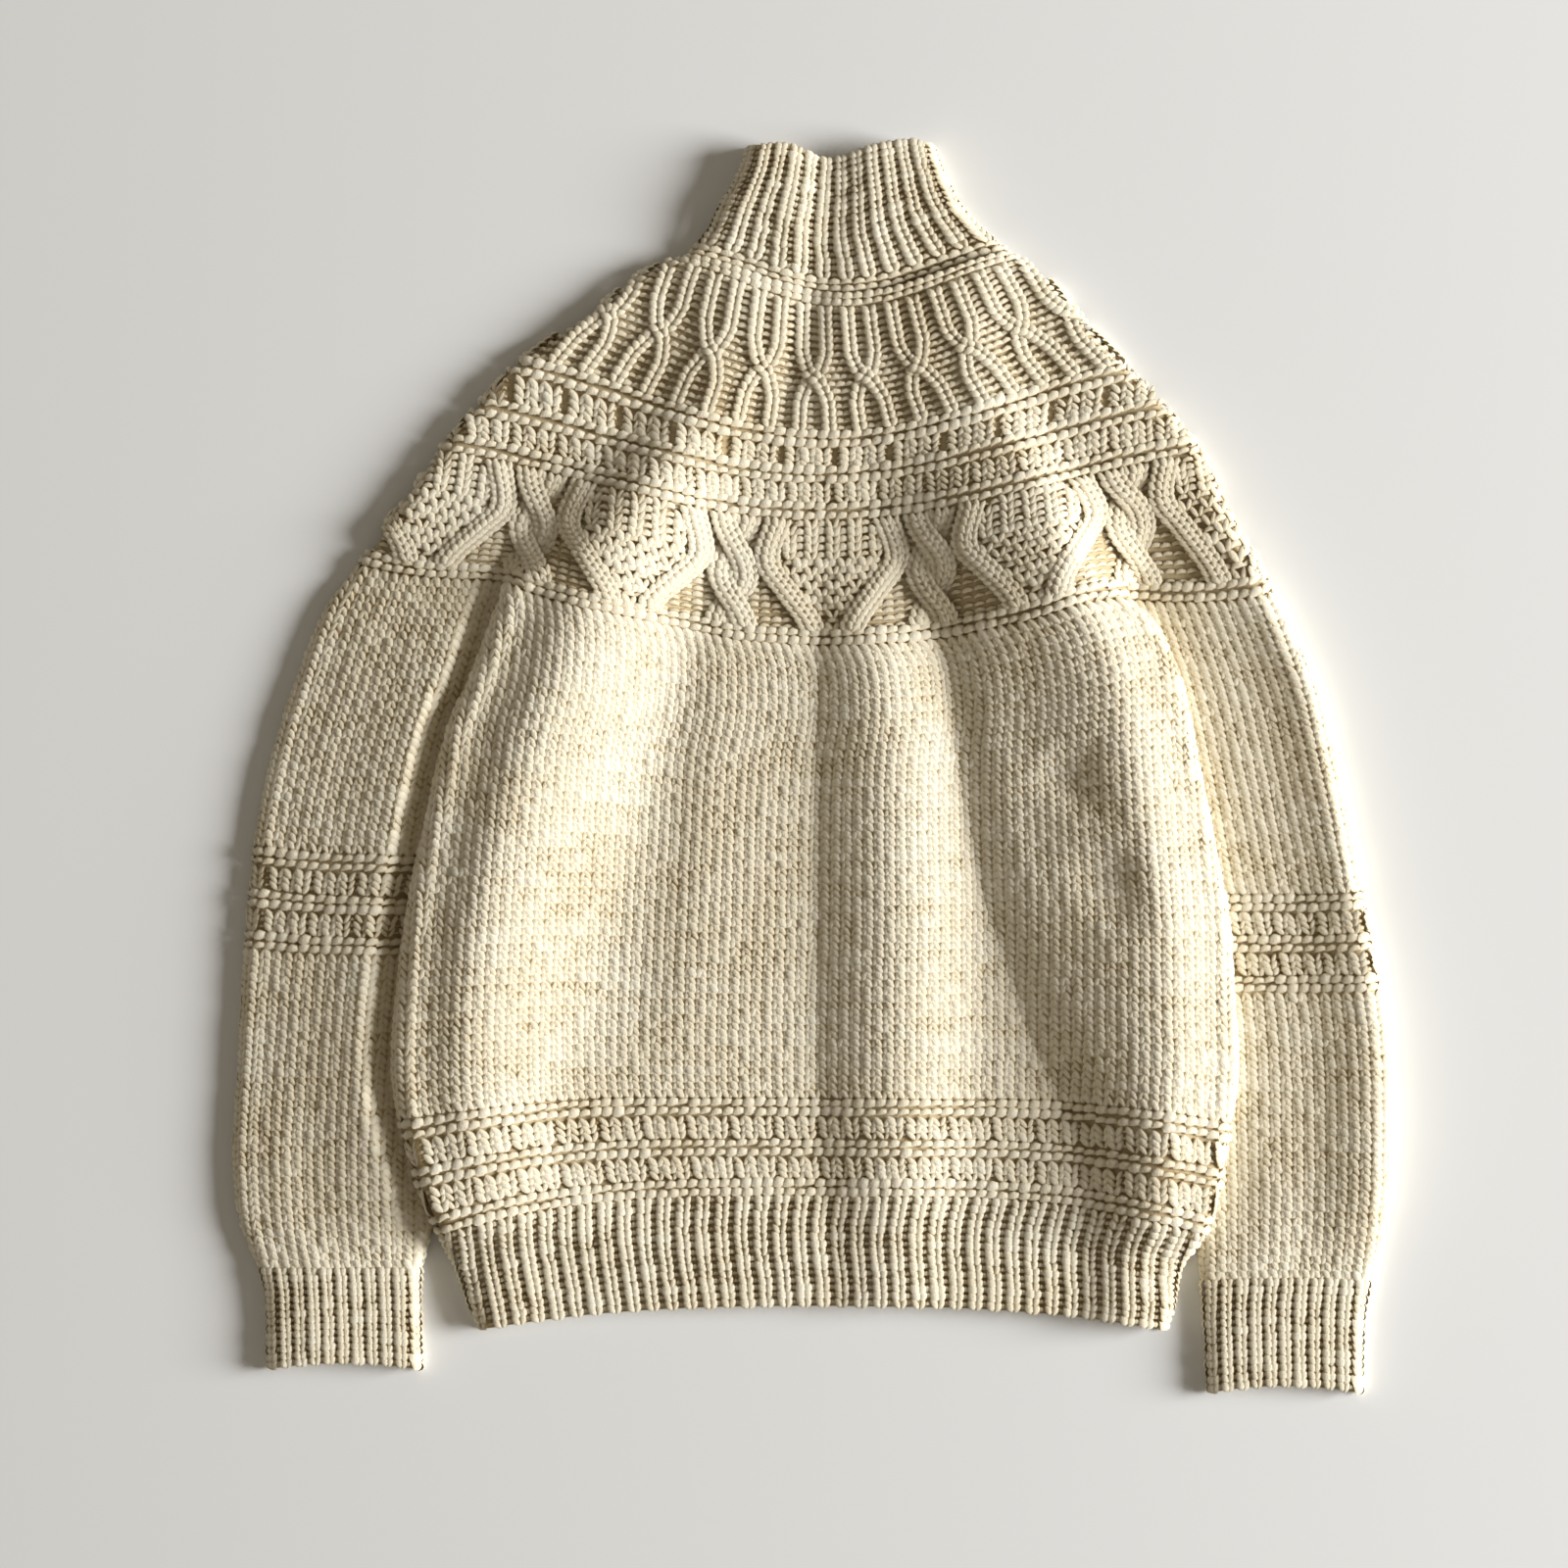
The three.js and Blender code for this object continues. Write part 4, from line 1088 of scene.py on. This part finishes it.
def lay_motifs(knitting, piece):
    rows = int(MOTIF["end"] - MOTIF["start"])
    for n in range(rows):
        row = MOTIF["start"] + n + 0.5
        arm = float(read(ARM_PATH, "down", (n + 0.5) / rows, "stitch"))
        shift = float(motif_shift(row / YOKE_ROWS))
        kinds = motif_row(piece, row, n, arm)
        lay_round(knitting, piece, row, 1.0, stitch_pitch, kinds, shift=shift, seed=9)

    share = np.linspace(0.0, 1.0, 30)
    row = MOTIF["start"] + 0.1 + share * (rows - 0.2)
    v = row / YOKE_ROWS
    pitch = read(MOTIF_PITCH, "row", row, "pitch")
    stitch = pitch / MOTIF["stitches"]
    arm = read(ARM_PATH, "down", share, "stitch")

    def lay_strand(x, lift, keep, seed):
        lay_chain(
            knitting, piece, x[keep], v[keep], STRAND_WIDTH, lift, "knit", STRAND_SIZE, seed=seed
        )

    for motif in range(-3, 4):
        centre = MOTIF["middle"] + motif * pitch
        for side in (-1, 1):
            for strand in STRANDS:
                x = centre + side * arm * stitch + strand * STRAND
                keep = within(piece, x, v)
                lift = ARM_LIFT - ARM_ROUND * abs(strand)
                if keep.sum() > 4:
                    lay_strand(x, lift, keep, motif * 11 + strand + side)
        # The twisted cable to the right of each motif crosses twice
        middle = centre + pitch / 2
        for cross in (0, 1):
            part = (share >= 0.5 * cross - 0.04) & (share <= 0.5 * cross + 0.56)
            local = np.clip((share - 0.5 * cross) / 0.5, 0, 1)
            swing = SWING * np.cos(math.pi * local)
            meet = np.exp(-(((local - 0.5) / CROSSING) ** 2))
            for offset, lift in ((-swing, 2.2 + 1.8 * meet), (swing, 1.8 - 2.8 * meet)):
                for strand in STRANDS:
                    x = middle + offset * stitch + strand * STRAND
                    keep = within(piece, x, v) & part
                    if keep.sum() < 4:
                        continue
                    height = lift[keep] - TWIST_ROUND * abs(strand)
                    lay_strand(x, height, keep, motif * 13 + strand + cross)


def lay_yoke(knitting, piece):
    def even(size):
        return lambda v: size + 0 * v

    for row, span in YOKE_RIDGES:
        lay_round(knitting, piece, row, span, even(RIDGE_PITCH), ridge_row, seed=21)
    for row in YOKE_TOP_ROWS:
        lay_round(knitting, piece, row, 1.0, even(GARTER_PITCH), garter, seed=20)
    lay_smocking(knitting, piece)
    for n in range(3):
        for course in YOKE_BLOCKS:
            shift = float(course["x"] - middle_x(piece, course["v"]))
            lay_round(
                knitting, piece, course["row"] + BLOCK_ROW * n, BLOCK_ROW, even(course["pitch"]),
                course["kinds"], shift=shift, seed=course["seed"],
            )
    lay_motifs(knitting, piece)


# Materials: sizes in metres, patterns in repeats to the metre
PURL_WIDTH = 0.0068
PURL_HEIGHT = 0.0044
PATCHES = 22.0
FIBRES = 900.0
# How much a stitch's tint, which holds both its own colour change and painted shade, and the fibres
# change the colour, and where the middle colour lies
TINT_SHARE = 0.32
FIBRE_SHARE = 0.35
MIDDLE_COLOUR_AT = 0.42
LIGHT_COLOUR_AT = 0.95


def node_tree(name):
    material = bpy.data.materials.new(name)
    material.use_nodes = True
    nodes, links = material.node_tree.nodes, material.node_tree.links
    return material, nodes, links, nodes["Principled BSDF"]


# Purl stitches on the hidden sides: small bumps in rows and columns
def purl_pattern(nodes, links, place):
    waves = []
    for direction, period in (("X", PURL_WIDTH), ("Y", PURL_HEIGHT)):
        wave = nodes.new("ShaderNodeTexWave")
        wave.wave_type = "BANDS"
        wave.bands_direction = direction
        wave.inputs["Scale"].default_value = math.pi / 10 / period
        wave.inputs["Distortion"].default_value = 1.2
        wave.inputs["Detail Scale"].default_value = 2.0
        links.new(place.outputs["Object"], wave.inputs["Vector"])
        waves.append(wave)
    both = nodes.new("ShaderNodeMath")
    both.operation = "MULTIPLY"
    links.new(waves[0].outputs["Fac"], both.inputs[0])
    links.new(waves[1].outputs["Fac"], both.inputs[1])
    return both.outputs["Value"]


def wool_material(name, painted_shade_colour, dark, light, bump_size, purled=False):
    material, nodes, links, shader = node_tree(name)
    place = nodes.new("ShaderNodeTexCoord")
    if purled:
        tint_and_painted_shade = purl_pattern(nodes, links, place)
    else:
        attribute = nodes.new("ShaderNodeAttribute")
        attribute.attribute_name = "tint_and_painted_shade"
        tint_and_painted_shade = attribute.outputs["Fac"]

    def noise(scale, detail):
        made = nodes.new("ShaderNodeTexNoise")
        made.inputs["Scale"].default_value = scale
        made.inputs["Detail"].default_value = detail
        links.new(place.outputs["Object"], made.inputs["Vector"])
        return made.outputs["Fac"]

    def multiply_add(value, share, rest):
        made = nodes.new("ShaderNodeMath")
        made.operation = "MULTIPLY_ADD"
        links.new(value, made.inputs[0])
        made.inputs[1].default_value = share
        links.new(rest, made.inputs[2])
        return made.outputs["Value"]

    patches, fibres = noise(PATCHES, 3.0), noise(FIBRES, 4.0)
    tinted = multiply_add(tint_and_painted_shade, TINT_SHARE, patches)
    blend = multiply_add(fibres, FIBRE_SHARE, tinted)
    # The ramp's darkest colour is painted shade, reached where the tint is lowest
    ramp = nodes.new("ShaderNodeValToRGB")
    ramp.color_ramp.elements[0].position = 0.0
    ramp.color_ramp.elements[0].color = (*painted_shade_colour, 1)
    ramp.color_ramp.elements[1].position = LIGHT_COLOUR_AT
    ramp.color_ramp.elements[1].color = (*light, 1)
    ramp.color_ramp.elements.new(MIDDLE_COLOUR_AT).color = (*dark, 1)
    links.new(blend, ramp.inputs["Fac"])
    links.new(ramp.outputs["Color"], shader.inputs["Base Color"])
    shader.inputs["Roughness"].default_value = 0.95
    shader.inputs["Specular IOR Level"].default_value = 0.15
    shader.inputs["Sheen Weight"].default_value = 0.25
    shader.inputs["Sheen Roughness"].default_value = 0.5
    bump = nodes.new("ShaderNodeBump")
    bump.inputs["Strength"].default_value = 0.6
    bump.inputs["Distance"].default_value = bump_size
    links.new(tint_and_painted_shade if purled else fibres, bump.inputs["Height"])
    links.new(bump.outputs["Normal"], shader.inputs["Normal"])
    return material


yarn_wool = wool_material(
    "cream_wool_yarn", (0.38, 0.27, 0.13), (0.82, 0.735, 0.55), (0.91, 0.865, 0.73), 0.0006
)
# Painted shade: the ground between the stitches is a darker brown wool, as the gaps between them
# lie in shade
painted_shade_ground_wool = wool_material(
    "cream_wool_ground_painted_shade", (0.40, 0.29, 0.14), (0.54, 0.43, 0.25), (0.70, 0.59, 0.39), 0.0006
)
# Painted shade: the purl pattern darkens the colour between the bumps, as well as making the bumps
back_wool = wool_material(
    "cream_wool_back", (0.50, 0.39, 0.23), (0.74, 0.645, 0.46), (0.91, 0.865, 0.73), 0.0014, True
)


# Places round each side fold
SIDE_COUNT = 9


# The thin shell that the stitches stand on: outer skin, inner skin and the rims between them
def shell(name, piece, ground, across_count, row_count):
    shares = [
        ("upper", np.linspace(0, 1, across_count)[:-1]),
        ("right", np.linspace(0, 1, SIDE_COUNT)[:-1]),
        ("lower", np.linspace(0, 1, across_count // 2)[:-1]),
        ("left", np.linspace(0, 1, SIDE_COUNT)[:-1]),
    ]

    def inner(x, v):
        return -CLOTH + 0 * x

    def rings(out_of):
        result = []
        for v in np.linspace(0, 1, row_count):
            left, right = piece["plan"]["left"](v), piece["plan"]["right"](v)
            low, high = left + FOLD_TURN, right - FOLD_TURN
            ring = []
            for where, t in shares:
                if where == "lower":
                    x = mix(high, low, t)
                    y = piece["plan"]["y"]((x - left) / (right - left), v)
                    up = CLOTH if out_of is inner else UNDERSIDE
                    ring.append(np.stack([x, y, piece["foot"](x, y) + up], -1))
                    continue
                if where == "upper":
                    x = mix(low, high, t)
                elif where == "right":
                    x = high + t * FOLD_LENGTH
                else:
                    x = low - (1 - t) * FOLD_LENGTH
                ring.append(surface(piece, x, v, out_of(x, v)))
            result.append(np.concatenate(ring))
        return np.stack(result)

    skin_out, skin_in = rings(ground), rings(inner)
    rows, around = skin_out.shape[:2]
    points = np.concatenate([skin_out.reshape(-1, 3), skin_in.reshape(-1, 3)])
    points[:, 2] = np.maximum(points[:, 2], LOWEST)
    j, i = np.meshgrid(np.arange(rows - 1), np.arange(around), indexing="ij")
    a = (j * around + i).reshape(-1)
    b = (j * around + (i + 1) % around).reshape(-1)
    c, d = b + around, a + around
    base = rows * around
    outside = np.stack([a, d, c, b], 1)
    inside = np.stack([a, b, c, d], 1) + base
    ring_i = np.arange(around)
    ring_next = (ring_i + 1) % around
    first = np.stack([ring_i, ring_next, ring_next + base, ring_i + base], 1)
    end = (rows - 1) * around
    last = np.stack([ring_i + end, ring_i + end + base, ring_next + end + base, ring_next + end], 1)
    # The outer skin takes the painted shade colour of the ground
    mesh = new_mesh(name, points, np.concatenate([outside, inside, first, last]), painted_shade_ground_wool)
    # The side that lies on the floor, and the inside, show the back of the knitting
    mesh.materials.append(back_wool)
    to_lower = across_count - 1 + len(shares[1][1])
    column = i.reshape(-1)
    under = (column >= to_lower) & (column < to_lower + len(shares[2][1]))
    backs = np.concatenate([under, np.ones(len(inside) + 2 * around, bool)])
    mesh.polygons.foreach_set("material_index", backs[: len(mesh.polygons)].astype(np.int32))
    piece_object = bpy.data.objects.new(name, mesh)
    bpy.context.scene.collection.objects.link(piece_object)
    return piece_object


# How far the shell lies below the outer skin: deeper in a ladder, and deepest between ribs
PLAIN_DEPTH = 0.1
LADDER_DEPTH = 1.6
YOKE_DEPTH = 1.7
RIB_DEPTH = 2.1
COLLAR_DEPTH = 2.3


def low_ground(depth, ladder_start=None, rows=None):
    def ground(x, v):
        if ladder_start is None:
            return -depth + 0 * x
        row = v * rows - ladder_start
        in_ladder = smooth(-0.3, 0.6, row) * (1 - smooth(LADDER_LENGTH - 0.6, LADDER_LENGTH, row))
        return -(depth + LADDER_DEPTH * in_ladder) + 0 * x

    return ground


def sleeve_shell(node):
    ground = low_ground(PLAIN_DEPTH, SLEEVE_LADDER_ROWS[node], SLEEVE_ROWS)
    return {"ground": ground, "across": 40, "rows": SLEEVE_ROWS + 1}


BODY_GROUND = low_ground(PLAIN_DEPTH, BODY_LADDER_ROW, BODY_ROWS)
CUFF_SHELL = {"ground": low_ground(RIB_DEPTH), "across": 30, "rows": 10}
SHELLS = {
    "yoke": {"ground": low_ground(YOKE_DEPTH), "across": 120, "rows": 90},
    "body": {"ground": BODY_GROUND, "across": 120, "rows": BODY_ROWS + 1},
    "hem_ribbing": {"ground": low_ground(RIB_DEPTH), "across": 120, "rows": 12},
    "collar": {"ground": low_ground(COLLAR_DEPTH), "across": 60, "rows": 16},
    "sleeve_left": sleeve_shell("sleeve_left"),
    "sleeve_right": sleeve_shell("sleeve_right"),
    "cuff_left": CUFF_SHELL,
    "cuff_right": CUFF_SHELL,
}
# The widest place of each piece, and the columns of stitches there
COLUMNS = {
    "body": (513, 76),
    "hem": (465, 77),
    "sleeve": (122, 18),
    "cuff": (100, 22),
}


# The collar's ribs fan out with its edges
def collar_pitch(v):
    return (half_width(PIECES["collar"], v) + COLLAR_SIDE) / COLLAR_COLUMNS


def knit_piece(node):
    piece = PIECES[node]
    knitting = Knitting(node)
    kind = node.split("_")[0]
    pitch = fitted_pitch(piece, *COLUMNS[kind]) if kind in COLUMNS else collar_pitch
    if kind == "body":
        lay_plain(knitting, piece, 0, BODY_LADDER_ROW, pitch, 1)
        lay_ladder(knitting, piece, BODY_LADDER_ROW, pitch, 2)
    elif kind == "sleeve":
        start = SLEEVE_LADDER_ROWS[node]
        lay_plain(knitting, piece, 0, start, pitch, 3)
        lay_ladder(knitting, piece, start, pitch, 4)
        lay_plain(knitting, piece, start + LADDER_LENGTH, SLEEVE_ROWS, pitch, 5)
    elif kind == "yoke":
        lay_yoke(knitting, piece)
    else:
        for n in range(piece["rows"]):
            kinds = garter if kind == "collar" and n >= COLLAR_ROWS - GARTER_ROWS else ribs
            lay_round(knitting, piece, n + 0.5, 1.0, pitch, kinds, seed=6)
    return knitting.meshes(yarn_wool)


def mean_size(piece):
    rows = np.linspace(0, 1, 9)
    around = 2 * np.mean([2 * float(half_width(piece, v)) + FOLD_LENGTH for v in rows])
    down = abs(float(piece["plan"]["y"](0.5, 0.0) - piece["plan"]["y"](0.5, 1.0)))
    return around * MM, down * MM


for node, settings in SHELLS.items():
    piece = PIECES[node]
    cloth = shell(f"{node}_cloth", piece, settings["ground"], settings["across"], settings["rows"])
    stitches = knit_piece(node)
    for made in [cloth, *stitches]:
        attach(made, "root")
        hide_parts(node)
    around, down = mean_size(piece)

# Floor, light and camera: sizes in metres
FLOOR_SIZE = 12
FLOOR_COLOUR = (0.83, 0.85, 0.875, 1)
WINDOW_PLACE = (7.44, 0.1, 2.93)
WINDOW_SIZE = 3.8
WINDOW_POWER = 1165
WINDOW_COLOUR = (1.0, 0.985, 0.955)
ROOM_COLOUR = (1.0, 0.87, 0.68, 1)
ROOM_STRENGTH = 0.2
CAMERA_PLACE = (-0.0175, -0.0103, 3.5)
PHOTO_WIDTH = 0.96
SENSOR = 36

floor_material, _, _, floor_shader = node_tree("pale_floor")
floor_shader.inputs["Base Color"].default_value = FLOOR_COLOUR
floor_shader.inputs["Roughness"].default_value = 0.7
bpy.ops.mesh.primitive_plane_add(size=FLOOR_SIZE, location=(0, 0, 0))
floor = bpy.context.object
floor.name = "floor"
floor.data.materials.append(floor_material)

# The photo's light comes low from the right
window = bpy.data.lights.new("window", "AREA")
window.shape = "DISK"
window.size = WINDOW_SIZE
window.energy = WINDOW_POWER
window.color = WINDOW_COLOUR
lamp = bpy.data.objects.new("window", window)
bpy.context.scene.collection.objects.link(lamp)
lamp.location = WINDOW_PLACE
tilt = math.acos(WINDOW_PLACE[2] / np.linalg.norm(WINDOW_PLACE))
lamp.rotation_euler = (0, tilt, math.atan2(WINDOW_PLACE[1], WINDOW_PLACE[0]))

world = bpy.data.worlds.new("room")
world.use_nodes = True
world.node_tree.nodes["Background"].inputs["Color"].default_value = ROOM_COLOUR
world.node_tree.nodes["Background"].inputs["Strength"].default_value = ROOM_STRENGTH
bpy.context.scene.world = world

camera_data = bpy.data.cameras.new("camera")
camera_data.sensor_width = SENSOR
camera_data.sensor_height = SENSOR
camera_data.sensor_fit = "HORIZONTAL"
camera_data.lens = SENSOR * CAMERA_PLACE[2] / PHOTO_WIDTH
camera_data.clip_end = 50
camera = bpy.data.objects.new("camera", camera_data)
camera.location = CAMERA_PLACE
bpy.context.scene.collection.objects.link(camera)
bpy.context.scene.camera = camera

bpy.context.scene.view_settings.view_transform = "Standard"
